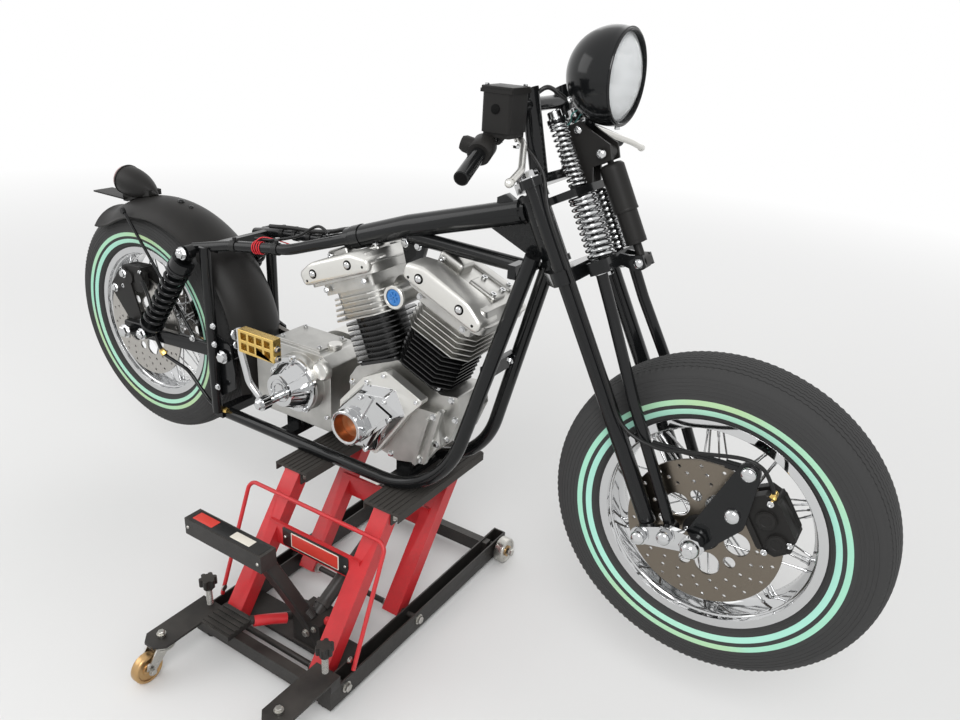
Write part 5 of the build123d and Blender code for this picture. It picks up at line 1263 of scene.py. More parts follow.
    def lamp_inside(self) -> None:
        """Build the lamp's bright reflector, bulb cap, bezel and bolts.

        The reflector's radius grows with the square root of its depth.
        """
        depth = np.linspace(0, 1, 18)
        bowl = np.stack([-50 + 46 * depth, 12 + 61.5 * np.sqrt(depth)], axis=1)
        shell = np.vstack([[(-50, 0)], bowl, bowl[::-1] + (-1.5, 0.8), [(-52, 12)], [(-52, 0)]])
        cap = [(-50, 0), (-50, 5), (-26, 5), (-26, 12), (-18, 13.5), (-11, 11.5), (-7, 6), (-6, 0)]
        bezel = [(6.5, 75.2), (9.0, 75.6), (10.2, 77.4), (9.4, 79.6), (7.2, 80.6), (6.5, 80.6), (6.5, 75.2)]
        shape = joined([
            turned(shell, self.LAMP, FORWARD, 64),
            turned(cap, self.LAMP, FORWARD, 32).painted(1),
            turned(bezel, self.LAMP, FORWARD, 96).painted(1),
            Head.SOCKET.row((-0.71, -0.49, -0.51), 6.0, (437, -40, 1275)),
            Head.SOCKET.row((-0.71, 0.49, -0.51), 6.0, (437, 40, 1275)),
            Head.SOCKET.row(BOTTOM, 5.0, (512, 0, 1234.6)),
        ])
        self.make("headlamp_bright_parts", shape, CHROME, GLOSS_BLACK)

    def bars(self) -> None:
        """Dress the bar's ends, their hollows closed by painted shade, and the levers' balls, and weld the
        risers.
        """
        end, out = self.BAR_END, self.grip()
        rim = turned([(0, 10.2), (0, 12.4), (0.3, 12.0), (0.6, 11.2), (0.5, 10.4), (0, 10.2)], end, out, 40)
        # A thin near-black disc inside each open bar end is painted shade of the hollow tube
        bore_shade = turned(drum(0, 0.3, 10.3), end, out, 40)
        self.make("bar_ends", (rim + bore_shade.painted(1)).mirrored(), GLOSS_BLACK, SHADE_AND_BLACK)
        foot = fork_point(60.4, 62, 52)
        weld = [(0, 17), (0, 18.6), (2.4, 17.2), (2.4, 17), (0, 17)]
        beads = turned(weld, foot, fork_point(98, 62, 198) - foot, 40)
        self.make("riser_welds", beads.mirrored(), GLOSS_BLACK)
        profile = [(0, 0), (1.5, 4.5), (5, 7), (9, 7.6), (13, 6.6), (16, 3.8), (17, 0)]
        ball = turned(profile, (456, -260, 1166.5), (0.1, -0.94, -0.3), 24)
        self.make("lever_ends", ball.mirrored(), POLISHED_ALLOY)

    def reservoir(self) -> None:
        """Dress the brake's reservoir, the bar's clamp with its switch, and the screws."""
        knee, out = self.BAR_KNEE, self.grip()
        clamp = [(-20, 12.7), (-20, 19), (-17, 21), (17, 21), (20, 19), (20, 12.7), (-20, 12.7)]
        switch = [(8, 0), (8, 15), (30, 14), (36, 11), (37, 0)]
        sight = [(0, 0), (0, 8), (1.6, 8), (2.4, 6.8), (2.4, 0)]
        shape = joined([
            slab((348, -194, 1293), (408, -134, 1297.5), 1.6),
            slab((352, -190, 1216), (404, -138, 1226), 3),
            turned(clamp, knee + 26 * out, out, 40),
            turned(switch, knee + 28 * out, np.cross(out, (0.3, 0, 1)), 32),
            turned(sight, (378, -194, 1262), RIGHT, 28).painted(1),
        ])
        self.make("reservoir_trim", shape, SATIN_BLACK, SHADE_AND_BLACK)
        screws = joined([
            Head.SOCKET.row(TOP, 3.6, (355, -187, 1297.5), (401, -141, 1297.5)),
            Head.SOCKET.row((0, -0.3, -1), 7.0, (366, -156, 1211)),
            Head.SOCKET.row(FORWARD, 4.5, (385, -158, 1228), (385, -148, 1236)),
            Head.HEX.row(BOTTOM, 6.5, (386, -131, 1200), (386, 131, 1200)),
        ])
        self.make("bar_screws", screws, CHROME)

    def cables(self) -> None:
        """Lay the clutch cable, the lamp's wires and the cable behind the springs."""
        clutch = [
            (392, 131, 1204), (404, 116, 1170), fork_point(88, 100, 60), fork_point(84, 112, -30),
            fork_point(40, 108, -150), fork_point(24, 96, -210),
        ]
        behind = [(371, -92, 1259), (362, -84, 1216), (372, -82, 1170), fork_point(14, -84, 54)]
        loop = [fork_point(98, -50, 188), (388, -34, 1290), (418, -20, 1272), (440, -12, 1268)]
        lamp = [(452, 14, 1252), (440, 26, 1236), (452, 22, 1214), fork_point(134, 18, 96)]
        rows = ((clutch, 3.2), (behind, 3.2), (loop, 4.2), (lamp, 3.6))
        self.make("bar_cables", joined([pipe(row, size, 10, 10) for row, size in rows]), BLACK_RUBBER)
        wires = (
            [(446, -8, 1262), (430, -16, 1248), (424, -6, 1234), fork_point(112, 0, 120)],
            [(448, -2, 1262), (436, 6, 1246), (428, 2, 1230), fork_point(112, 4, 112)],
        )
        self.make("lamp_wires", joined([pipe(wire, 1.3, 8, 10) for wire in wires]), TEAL_WIRE)

    def build(self) -> None:
        """Build and dress the whole fork."""
        self.springs()
        self.nuts()
        self.damper_trim()
        self.front_brake()
        self.lamp_glass()
        self.lamp_inside()
        self.bars()
        self.reservoir()
        self.cables()
        self.dress_nodes()


class Engine(Assembly):
    """V-twin with its rocker boxes, covers, gearbox, kick starter and primary drive."""

    DRESSED = (
        ("crankcase", CAST_ALLOY, 1.4),
        ("gearbox", CAST_ALLOY, 1.6),
        ("kick_cover", CHROME, 1.2),
        ("kick_arm", CHROME, 0.8),
        ("kick_pedal", BRASS, 1.0),
        ("primary_cover", POLISHED_ALLOY, 1.8),
    )

    @staticmethod
    def axes(end: End) -> tuple[np.ndarray, np.ndarray]:
        """Give a cylinder's forward and upward directions."""
        lean = end.value * math.degrees(V_HALF)
        return heading(-lean), heading(90 - lean)

    def seat(self, end: End, across: float, left: float, up: float) -> np.ndarray:
        """Give a place on a cylinder's own axes.

        Args:
            end: The cylinder's end of the engine.
            across: Distance across the cylinder, forward.
            left: Distance to the left.
            up: Distance up the cylinder from the crank.

        Returns:
            The place in the row frame.
        """
        along, upward = self.axes(end)
        return CRANK + across * along + left * ACROSS + up * upward

    def cover(self, end: End) -> Shape:
        """Shape the long polished cover on a rocker box's right side, with its sunk bolts; the shade round
        the bolts and at two pin places is painted as flat dark discs.
        """
        along, upward = self.axes(end)
        outline = eased([(-110, 360), (93, 356), (99, 384), (52, 406), (-74, 409), (-115, 394)], 12, 5)
        body = plate(outline, CRANK - 34 * ACROSS, along, upward, 66, 9)
        places = [self.seat(end, place, -100, 383) for place in (-70, 40)]
        pins = [self.seat(end, place, -100, 371) for place in (-94, 80)]
        # Flat near-black discs: painted shade of the counterbores round the bolts and at the pins
        counterbore_shade = joined([
            Head.SPOT.row(RIGHT, 11.0, *places),
            Head.SPOT.row(RIGHT, 3.6, *(place - 2.6 * ACROSS for place in places)),
            Head.SPOT.row(RIGHT, 3.2, *pins),
        ])
        return body + Head.DOME.row(RIGHT, 8.0, *places).painted(1) + counterbore_shade.painted(2)

    def blocks(self, end: End) -> Shape:
        """Shape the cast blocks and the seams behind a rocker box's cover, with their bolts."""
        along, upward = self.axes(end)
        rows = (((-58, 6), (64, 52), 26, 7), ((34, 2), (72, 48), 10, 6), ((-10, 62), (150, 30), 8, 5))
        shapes = [
            plate(
                eased(rectangle(*size, 9), 1.0, 1), self.seat(end, *place, 396), along,
                np.cross(upward, along), height, edge,
            )
            for place, size, height, edge in rows
        ]
        tall = [self.seat(end, *place) for place in ((10, 20, 405), (58, -14, 405), (58, 22, 405))]
        low = [self.seat(end, *place) for place in ((-70, 62, 403), (50, 62, 403))]
        bolts = joined([
            Head.SOCKET.row(RIGHT, 7.0, self.seat(end, -76, -21, 410)),
            Head.SOCKET.row(upward, 6.5, *tall),
            Head.SOCKET.row(upward, 5.5, *low),
        ])
        return joined(shapes) + bolts.painted(1)

    def top_end(self) -> None:
        """Dress both cylinders: covers, blocks, base nuts and head bolts."""
        for end in End:
            self.shop.dress(end.label + "_barrel", BARREL_BLACK, 0.5)
            self.shop.dress(end.label + "_head", CAST_ALLOY, 0.6)
            self.shop.dress(end.label + "_rocker_box", CAST_ALLOY, 1.2)
            self.make(end.label + "_rocker_cover", self.cover(end), POLISHED_ALLOY, CHROME, SHADE_AND_BLACK)
            self.make(end.label + "_rocker_blocks", self.blocks(end), CAST_ALLOY, CHROME)
            corners = [(a, y) for a in (-54, 54) for y in (-54, 54) if a * end.value > -50]
            feet = [self.seat(end, a, y, 158) for a, y in corners]
            sides = [self.seat(end, a, -84.2, 340) for a in (-60, 58)]
            nuts = Head.HEX.row(self.axes(end)[1], 6.5, *feet) + Head.HEX.row(RIGHT, 5.5, *sides)
            self.make(end.label + "_cylinder_nuts", nuts, CHROME)

    def intake(self) -> None:
        """Ring the intake between the cylinders and close it with its blue plug."""
        mouth = CRANK + (0, -70, 315)
        ring = [(0, 19.2), (0, 26.5), (7, 26.5), (8.5, 25), (8.5, 20.4), (7.5, 19.2), (0, 19.2)]
        plug = [(-4, 0), (-4, 19), (5, 19), (6.5, 17.5), (6.5, 12), (4, 10), (4, 0)]
        web = [
            plate(rectangle(34, 4, 1.5), mouth - 3.8 * ACROSS, heading(a), heading(a + 90), 3, 1)
            for a in np.degrees((0.3, 1.4, 2.4))
        ]
        blue = turned(plug, mouth, RIGHT, 40) + joined(web)
        self.make("intake_mouth", turned(ring, mouth, RIGHT) + blue.painted(1), POLISHED_ALLOY, BLUE_PLUG)

    def crankcase(self) -> None:
        """Dress the crankcase and the cam cover: bolts, copper nose, and the slot's shade painted as a thin
        dark plate.
        """
        self.shop.dress("cam_cover", CHROME, 1.6, (POLISHED_ALLOY, -105.0))
        cover = [(-46, 84), (22, 94), (38, 58), (-30, -42), (-78, -38), (-110, -14), (-107, 26)]
        chest = [(-2, 140), (88, 104), (-50, 112)]
        case = [(80, -80, 453), (166, -80, 467), (207, -80, 522), (196, -80, 586)]
        side = [(228, -58, 628), (240, -58, 584), (218, -58, 528), (-54, -58, 486), (-54, -58, 590)]
        bolts = joined([
            Head.SOCKET.row(RIGHT, 5.6, *(CRANK + (x, -132, z) for x, z in cover)),
            Head.SOCKET.row(RIGHT, 5.2, *(CRANK + (x, -104, z) for x, z in chest)),
            Head.HEX.row(RIGHT, 6.2, *case, *side),
        ])
        self.make("crankcase_bolts", bolts, CHROME)
        bowl = [
            (0.4, 0), (0.4, 33.9), (29, 33.9), (29.5, 33.2), (5, 31), (3.2, 24), (3.6, 19), (2.4, 14),
            (2.0, 0),
        ]
        lip = [(0, 33.8), (0, 42), (1.5, 42), (3, 40), (3, 36), (1.5, 33.8), (0, 33.8)]
        copper = turned(bowl, (6, -122.4, 525), RIGHT, 56)
        self.make("nose_bowl", copper + turned(lip, (6, -152, 525), RIGHT, 56).painted(1), COPPER, CHROME)
        run, rise = (0.91, 0, -0.41), (0.41, 0, 0.91)
        # A thin near-black plate on the cover: painted shade of the slot
        slot = plate(rectangle(50, 6, 2.8), (101, -132.0, 594), run, rise, 0.4, 0.1)
        self.make("cover_slot", slot, SHADE_AND_BLACK)

    def gearbox(self) -> None:
        """Set the bolts, nuts and bosses of the gearbox and the kick starter."""
        lobes = GEARBOX - 94 * ACROSS + 66 * heading(18 + 72.0 * np.arange(5))
        case = [
            (-356, -62, 450), (-356, -62, 590), (-300, -62, 620), (-150, -62, 616), (-132, -62, 470),
            (-132, -62, 580),
        ]
        lid = [(x, y, 635) for x in (-296, -174) for y in (-40, 40)]
        bolts = joined([
            Head.SOCKET.row(RIGHT, 6.0, *lobes),
            Head.SOCKET.row(RIGHT, 5.8, *case),
            Head.SOCKET.row(TOP, 5.6, *lid),
        ])
        self.make("gearbox_bolts", bolts, CHROME)
        ledges = [
            [(h, r - 3), (h, r), (h + 2.5, r - 0.8), (h + 2.5, r - 2.6), (h, r - 3)]
            for h, r in ((-6, 36), (-1, 30), (0, 20))
        ]
        rings = [turned(ledge, GEARBOX - 138 * ACROSS, RIGHT) for ledge in ledges]
        nuts = joined([
            Head.HEX.row(RIGHT, 11.0, (-222, -194, 528)),
            Head.HEX.row(BACKWARD, 11.0, (-285, -194, 690)),
            Head.HEX.row(BACKWARD, 8.0, (-285, -194, 664)),
            Head.HEX.row(FORWARD, 6.5, (-155.7, -194, 688), (-155.7, -194, 664)),
            Head.HEX.row(RIGHT, 8.0, (-286, -62, 545)),
            *rings,
        ])
        self.make("kick_nuts", nuts, CHROME)
        filler = turned([(0, 0), (0, 17), (4, 18), (10, 18), (12, 16), (12, 0)], (-160, 0, 628), TOP, 36)
        boss = turned([(0, 0), (0, 26), (10, 25), (16, 21), (16, 0)], (-140, -62, 596), RIGHT, 40)
        self.make("gearbox_bosses", filler + boss, POLISHED_ALLOY)

    def primary(self) -> None:
        """Set the primary cover's bolts, lid screws and ring."""
        rear = PRIMARY + 144 * ACROSS + 97 * heading(np.linspace(100, 268, 6))
        front = CRANK + 144 * ACROSS + 81 * heading(np.linspace(-80, 84, 5))
        lid = PRIMARY + 160 * ACROSS + 58 * heading(72.0 * np.arange(5) + 90)
        ring = turned([(0, 40), (0, 52), (2, 51), (2, 41), (0, 40)], PRIMARY + 160 * ACROSS, LEFT, 56)
        shape = joined([
            Head.SOCKET.row(LEFT, 5.6, *rear, *front, (-68, 144, 613), (-68, 144, 430)),
            Head.SOCKET.row(LEFT, 5.0, *lid),
            Head.SOCKET.row(LEFT, 14.0, CRANK + 154 * ACROSS),
            ring,
        ])
        self.make("primary_screws", shape, CHROME)

    def build(self) -> None:
        """Build and dress the whole engine."""
        self.top_end()
        self.intake()
        self.crankcase()
        self.gearbox()
        self.primary()
        self.dress_nodes()


class Rear(Assembly):
    """Rear end and frame: shocks, brake, chain, fender, lamp and small frame pieces.

    Attributes:
        SPROCKETS: Middle and radius of the rear and the gearbox's sprocket.
        CHAIN_Y: Where the chain's middle plane lies.
        PITCH: Length of a chain link.
        CALIPER: Angle of the rear caliper about the axle.
        SHOCK: Middle of the left shock's upper and lower eye.
        LAMP: Foot of the tail lamp's axis.
        LAMP_LEAN: Angle of that axis above backward.
    """

    DRESSED = (
        ("drive_chain", CHAIN_STEEL, 0.4),
        ("rear_sprocket", CHAIN_STEEL, 0.5),
        ("rear_caliper", SATIN_BLACK, 1.2),
        ("rear_fender", SATIN_BLACK, 0.8),
    )
    SPROCKETS = (((-AXLE_X, 0, AXLE_Z), 97.0), ((-318.0, 0, 520.0), 46.0))
    CHAIN_Y = 77.0
    PITCH = 15.9
    CALIPER = 95
    SHOCK = ((-516.0, 130, 827), (-714.0, 130, 564))
    LAMP = (-786.0, 0, 903.0)
    LAMP_LEAN = 10

    def pins(self) -> np.ndarray:
        """Place the chain's pins at equal steps along its loop.

        The loop is two arcs about the sprockets joined by their common tangents, and pin k
        stands at k and a half pitches along it.

        Returns:
            The pins' places in the plane Y = 0, an even number of them.
        """
        (back, big), (front, small) = ((np.array(place), radius) for place, radius in self.SPROCKETS)
        span = front - back
        turn = math.degrees(math.atan2(span[2], span[0]))
        wrap = 90 - math.degrees((big - small) / np.linalg.norm(span))
        path = np.vstack([
            back + big * heading(np.linspace(turn + wrap, turn + 360 - wrap, 90)),
            front + small * heading(np.linspace(turn - wrap, turn + wrap, 60)),
        ])
        path = np.vstack([path, path[:1]])
        reach = path_length(path)
        count = int(round(reach[-1] / self.PITCH / 2)) * 2
        at = (np.arange(count) + 0.5) * reach[-1] / count
        return np.stack([np.interp(at, reach, path[:, k]) for k in range(3)], axis=1)

    def chain(self) -> None:
        """Set the chain's rollers, pins and outer plates, every second plate set out."""
        pins = self.pins()
        count = len(pins)
        step = np.roll(pins, -1, axis=0) - pins
        roller = turned(drum(-6.6, 6.6, 6.5), ORIGIN, TOP, 16)
        pin = turned(drum(-7.6, 8.8, 2.4), ORIGIN, TOP, 12)
        places = pins + self.CHAIN_Y * ACROSS
        out = np.tile(ACROSS, (count, 1))
        shape = roller.repeated(places, out, np.ones(count))
        shape = shape + pin.repeated(places, out, np.ones(count)).painted(1)
        link = plate(eased(rectangle(26, 11.5, 5.2), 0.4, 1), ORIGIN, FORWARD, LEFT, 0.9, 0.3)
        along = unit(step)
        seats = pins + step / 2 + (84.0 + 0.9 * (np.arange(count) % 2))[:, None] * ACROSS
        turns = np.stack([along, np.cross(out, along), out], axis=1)
        self.make("chain_links", shape + link.carried(seats, turns).painted(1), CHAIN_STEEL, ZINC)

    def nuts(self) -> None:
        """Set the bolts of shocks, axle, pivot, struts, caliper and frame clamps."""
        both = joined([
            Head.HEX.row(LEFT, 12.5, (-516, 148, 827), (-714, 148, 564)),
            Head.HEX.row(LEFT, 15.5, (-806, 134, 545)),
            Head.HEX.row(LEFT, 13.5, (-450, 104, 556)),
            Head.HEX.row(LEFT, 7.0, (-571, 98, 574)),
            Head.HEX.row(FORWARD, 7.0, (312, 40, 715)),
            Head.HEX.row(BOTTOM, 6.0, (340, 34, 930)),
            Head.DOME.row(LEFT, 8.0, (-516, 156, 827), (-714, 156, 564)),
        ])
        single = joined([
            Head.HEX.row(RIGHT, 9.5, (-850, -90.8, 690), (-895, -90.8, 640)),
            Head.HEX.row(RIGHT, 16.0, (-806, -90.8, 545)),
            Head.HEX.row(RIGHT, 6.5, (-466, -114, 640), (-466, -114, 590), (-466, -114, 470)),
            Head.HEX.row(RIGHT, 7.5, (54, -6, 936), (90, -6, 936), (74, -6, 880)),
        ])
        self.make("rear_bolts", both.mirrored() + single, CHROME)

    def rear_brake(self) -> None:
        """Dress the rear caliper and lay its pipe with the brass fittings."""
        out, along = heading(self.CALIPER), heading(self.CALIPER + 90)
        face = End.REAR.axle - 85.8 * ACROSS
        holes = [face + r * out + s * along for r, s in ((112, 44), (160, 40), (160, -40))]
        self.make("rear_caliper_bolts", Head.SOCKET.row(RIGHT, 5.8, *holes), CHROME)
        path = [
            (-760, -98, 690), (-724, -106, 640), (-706, -114, 560), (-683, -112, 508), (-640, -110, 492),
            (-589, -108, 478), (-548, -104, 436), (-511, -102, 404), (-470, -100, 398),
        ]
        profile = [(-9, 0), (-9, 7), (-3, 8.4), (3, 8.4), (9, 7), (9, 0)]
        joints = (
            ((-683, -112, 508), (0.5, 0, -0.5)), ((-486, -101, 400), (1, 0, -0.1)),
            ((-462, -100, 398), FORWARD),
        )
        fittings = joined([turned(profile, place, axis, 6) for place, axis in joints])
        self.make("rear_brake_pipe", pipe(path, 5.0, 12, 10) + fittings.painted(1), GLOSS_BLACK, BRASS)

    def fender(self) -> None:
        """Add the skirt below the fender, the spacers behind it and the fender's bolts.

        The skirt carries the fender's crown straight down: at a distance y from the middle its
        face lies behind the crown's by the crown's own fall, 46 mm times (y / 82.5) squared.
        """
        y = np.linspace(-70, 70, 41)
        z = np.linspace(612.6, 442, 12)[:, None]
        fall = 46 * (y / 82.5) ** 2
        x = -745 + (358 - fall) * math.cos(math.radians(11))
        lift = 0.19 * fall * np.linspace(1, 0, 12)[:, None]
        outer = np.stack([x + 0 * z, y + 0 * z, z - lift], axis=-1)
        rows = np.concatenate([outer, outer[::-1] - (3.0, 0, 0)])
        points = np.concatenate([rows[:, :1], rows, rows[:, -1:]], axis=1)
        points[:, 0] = (rows[:, 0] + rows[::-1, 0]) / 2
        points[:, -1] = (rows[:, -1] + rows[::-1, -1]) / 2
        skirt = Shape(points.reshape(-1, 3), grid_faces(len(points), points.shape[1], True, False))
        spacers = joined([turned(drum(0, 24, 8), (-396, side, 560), FORWARD, 20) for side in (-18, 18)])
        self.make("fender_skirt", skirt + spacers, SATIN_BLACK)
        bolts = joined([
            Head.DOME.row((0.14, 0, 1), 9.0, (-694, 0, 899.8)),
            Head.DOME.row((0.25, 0, 0.97), 6.5, (-656, 0, 892.2)),
            Head.HEX.row(LEFT, 8.0, (-820, 86.6, 868)).mirrored(),
        ])
        self.make("fender_bolts", bolts, GLOSS_BLACK)

    def tail_lamp(self) -> None:
        """Close the tail lamp with its red glass and the ring round it."""
        back = heading(180 - self.LAMP_LEAN)
        glass = [(132, 0), (132, 38.8), (140, 37.2), (148, 30), (154, 20), (157.5, 9), (158.5, 0)]
        bezel = [(128, 39.6), (128, 41.2), (132, 41.0), (133.5, 39.4), (128, 39.6)]
        shape = turned(glass, self.LAMP, back, 56) + turned(bezel, self.LAMP, back, 56).painted(1)
        self.make("tail_lamp_glass", shape, REAR_GLASS, SATIN_BLACK)

    def seat_rails(self) -> None:
        """Add the clips, the red wire and the loom on the seat rails."""
        near, far = np.array([-240.0, -62, 873]), np.array([-420.0, -84, 852])
        run = far - near
        clips = []
        for share, side in ((0.06, 1), (0.3, 1), (0.62, 1), (0.9, -1), (0.9, 1), (0.2, -1)):
            flip = (1, -side, 1)
            place = (near + share * run) * flip
            clips.append(turned(hoop(-7, 7, 13, 15.2), place, run * flip, 28))
            clips.append(turned(drum(0, 9, 5), place + (0, 0, 13), TOP, 16))
        self.make("rail_clips", joined(clips), BLACK_RUBBER)
        tail = [(0.56, (0, 0, 14)), (0.5, (4, 10, 24)), (0.36, (0, 22, 18)), (0.2, (0, 40, 4))]
        wire = coil(near + 0.42 * run, near + 0.56 * run, 14.2, 1.5, 4, 8, 24)
        wire = wire + pipe([near + share * run + shift for share, shift in tail], 1.5, 8, 10)
        self.make("rail_wires", wire, RED_WIRE)
        loom = [
            (-110, 10, 934), (-150, 24, 922), (-200, 40, 905), (-270, 52, 890), (-360, 62, 880),
            (-430, 60, 872),
        ]
        second = [(-150, -24, 922), (-190, -20, 930), (-240, -34, 900), (-300, -58, 884), (-350, -64, 880)]
        self.make("seat_loom", pipe(loom, 5.5, 12, 10) + pipe(second, 3.5, 10, 10), BLACK_RUBBER)

    def collars(self) -> None:
        """Add the weld beads and the neck's sleeve on the spine."""
        neck = STEERING_HEAD + 6 * UPWARD - 30 * AHEAD
        shape = joined([
            turned([(-3, 25), (0, 28.4), (3, 25), (-3, 25)], neck, (0.9, 0, 0.3), 40),
            turned([(-2.5, 15.8), (0, 18), (2.5, 15.8), (-2.5, 15.8)], (66, 0, 952), FORWARD, 32),
            turned(hoop(0, 26, 25.2, 27), (-92, 0, 919.6), (0.94, 0, 0.335), 40),
        ])
        self.make("frame_collars", shape, GLOSS_BLACK)

    def shocks(self) -> None:
        """Ring the shocks above and below their springs and add the dust covers."""
        top, low = (np.array(place) for place in self.SHOCK)
        profiles = [
            [(h, 30), (h, 31.4), (h + 3, 32), (h + 6, 31.4), (h + 6, 30), (h, 30)] for h in (56, 284)
        ]
        profiles.append([(26, 0), (26, 22), (30, 30.3), (32, 30.3), (32, 0)])
        rings = joined([turned(profile, top, low - top) for profile in profiles])
        self.make("shock_rings", rings.mirrored(), GLOSS_BLACK)

    def build(self) -> None:
        """Build and dress the rear end."""
        self.chain()
        self.nuts()
        self.rear_brake()
        self.fender()
        self.tail_lamp()
        self.seat_rails()
        self.collars()
        self.shocks()
        self.dress_nodes()


class Lift(Assembly):
    """Scissor lift: its labels, bolts, red lever, casters and wheels.

    Attributes:
        PLATE_Z: Height of the cross plate's middle.
        HEAD_TOP: Height of the pump lever's flat head.
        CASTERS: Each caster's name and place along X.
        WHEELS: Each fixed wheel's name and place along X.
    """

    DRESSED = (("lift_arms", LIFT_RED, 1.2), ("lift_base", LIFT_BLACK, 1.2))
    PLATE_Z = 229.6
    HEAD_TOP = 338.0
    CASTERS = (("rear", -202.0), ("front", 162.0))
    WHEELS = (("rear", -253.0), ("front", 213.0))

    def labels(self) -> None:
        """Fix the blank label plates on the cross plate and on the lever's head."""
        upright = (
            ((206, 50, 5), -239.8, 2.2, 0.6, 0), ((150, 40, 3), -242.0, 0.5, 0.2, 2),
            ((144, 34, 2), -242.5, 0.5, 0.2, 1),
        )
        flat = (
            ((222, 36, 4), -105, 0.0, 0.8, 0.3, 0), ((62, 26, 2), -178, 0.8, 0.5, 0.2, 1),
            ((60, 22, 2), -62, 0.8, 0.5, 0.2, 2),
        )
        shapes = [
            plate(rectangle(*size), (-14, y, self.PLATE_Z), FORWARD, TOP, depth, edge).painted(slot)
            for size, y, depth, edge, slot in upright
        ]
        shapes += [
            plate(rectangle(*size), (x, -406, self.HEAD_TOP + up), FORWARD, LEFT, depth, edge).painted(slot)
            for size, x, up, depth, edge, slot in flat
        ]
        self.make("lift_labels", joined(shapes), LABEL_BLACK, LABEL_RED, LABEL_PALE)
        rivets = [(x, -242.0, self.PLATE_Z) for x in (-108, 80)] + [(x, -428, 317) for x in (-215, 4)]
        self.make("label_rivets", Head.DOME.row(RIGHT, 4.0, *rivets), ZINC)

    def bolts(self) -> None:
        """Set the lift's pivot, swivel, pump and pad bolts."""
        shapes = []
        for side, arm_x, foot_x, rail_x in ((-1, -160, -202, -233), (1, 120, 162, 193)):
            ahead, behind = (side, 0, 0), (-side, 0, 0)
            shapes += [
                Head.HEX.row(ahead, 10.0, *((arm_x + side * 27.3, y, 343) for y in (-143, 119))),
                Head.HEX.row(behind, 8.0, *((arm_x - side * 27.3, y, 343) for y in (-143, 119))),
                Head.HEX.row(behind, 11.0, *((arm_x - side * 23, y, 40) for y in (-368, -106))),
                Head.HEX.row(TOP, 8.0, (foot_x, -535, 98)),
                Head.HEX.row(TOP, 8.5, (foot_x, -400, 62)),
                Head.HEX.row(ahead, 10.0, *((rail_x, y, 40) for y in (-368, -106))),
                Head.HEX.row(ahead, 10.0, (rail_x + side * 40, 262, 35)),
                Head.HEX.row(ahead, 6.0, (rail_x - side * 14, -342, 88)),
            ]
        shapes += [
            Head.HEX.row(BACKWARD, 8.0, (-13.7, -300, 60)),
            Head.HEX.row(FORWARD, 8.0, (70, -270, 80)),
            Head.HEX.row(RIGHT, 8.0, (28, -320, 66)),
            Head.HEX.row(RIGHT, 6.0, (52, -320, 88)),
        ]
        self.make("lift_bolts", joined(shapes), ZINC)

    def screw_feet(self) -> None:
        """Thread the screw feet and set their collars."""
        collar = [(0, 0), (0, 12), (8, 12), (10, 9), (10, 0)]
        feet = [x for _, x in self.CASTERS]
        threads = [coil((x, -400, 62), (x, -400, 146), 6.6, 0.9, 40, 6, 16) for x in feet]
        collars = [turned(collar, (x, -400, 135), TOP, 24).painted(1) for x in feet]
        self.make("foot_threads", joined(threads + collars), ZINC, LIFT_BLACK)

    def lever(self) -> None:
        """Sleeve the release pedal's arm in red and add the pump's pieces."""
        sleeve = pipe([(-60, -395, 108), (-40, -362, 101), (-22, -332, 92)], 12.5, 20, 8)
        knob = turned([(0, 0), (0, 6), (9, 8), (16, 6), (18, 0)], (74, -300, 104), (0.2, 0, 1), 20)
        self.make("lift_red_lever", sleeve + knob, LIFT_RED)
        foot, head = np.array([28.0, -286, 96]), np.array([28.0, -60, 214])
        collars = [
            turned(hoop(low, low + width, 17, 20.5), foot, head - foot, 36)
            for low, width in ((22, 12), (110, 8), (238, 14))
        ]
        folds = [(4 + 5 * k + 2.5 * s, 19 - 2.2 * s) for k in range(6) for s in (0, 1)]
        boot = turned([(0, 0), (0, 19), *folds, (36, 19), (36, 0)], (24, -306, 104), (-44, -86, 208), 28)
        feet = slab((-14, -325, 26.2), (70, -245, 30), 1.5)
        self.make("pump_collars", joined([*collars, boot, feet]), LIFT_BLACK)

    def casters(self) -> None:
        """Dress the casters and the fixed wheels with their bearings and treads."""
        tread = [(-8, 33), (-8, 34.2), (-4, 35), (4, 35), (8, 34.2), (8, 33), (-8, 33)]
        for name, x in self.CASTERS:
            fork = "caster_" + name
            self.shop.dress(fork + "_fork", ZINC, 0.8)
            trim = joined([
                turned(hoop(-2, 2, 20, 27), (x, -535, 70), TOP, 36),
                turned(hoop(4, 8, 20, 27), (x, -535, 70), TOP, 36),
                Head.HEX.row(BACKWARD, 7.5, (x - 20, -580, 35)),
                Head.HEX.row(FORWARD, 7.5, (x + 20, -580, 35)),
                plate(rectangle(9, 26, 3.5), (x + 23, -590, 56), LEFT, (0.3, 0, 0.95), 3, 1),
            ])
            self.make(name + "_caster_trim", trim, ZINC, body=fork)
            rim = turned(tread, (x, -580, 35.5), FORWARD, 56)
            self.make(name + "_caster_tread", rim, CASTER_BRONZE, body=fork + "_roller")
        for name, x in self.WHEELS:
            hub = turned(hoop(-14.6, 14.6, 9, 15), (x, 262, 35), FORWARD, 36)
            self.make("lift_" + name + "_wheel_hub", hub, CASTER_BRONZE, body="lift_" + name + "_roller")

    def build(self) -> None:
        """Build and dress the whole lift."""
        self.labels()
        self.bolts()
        self.screw_feet()
        self.lever()
        self.casters()
        self.dress_nodes()


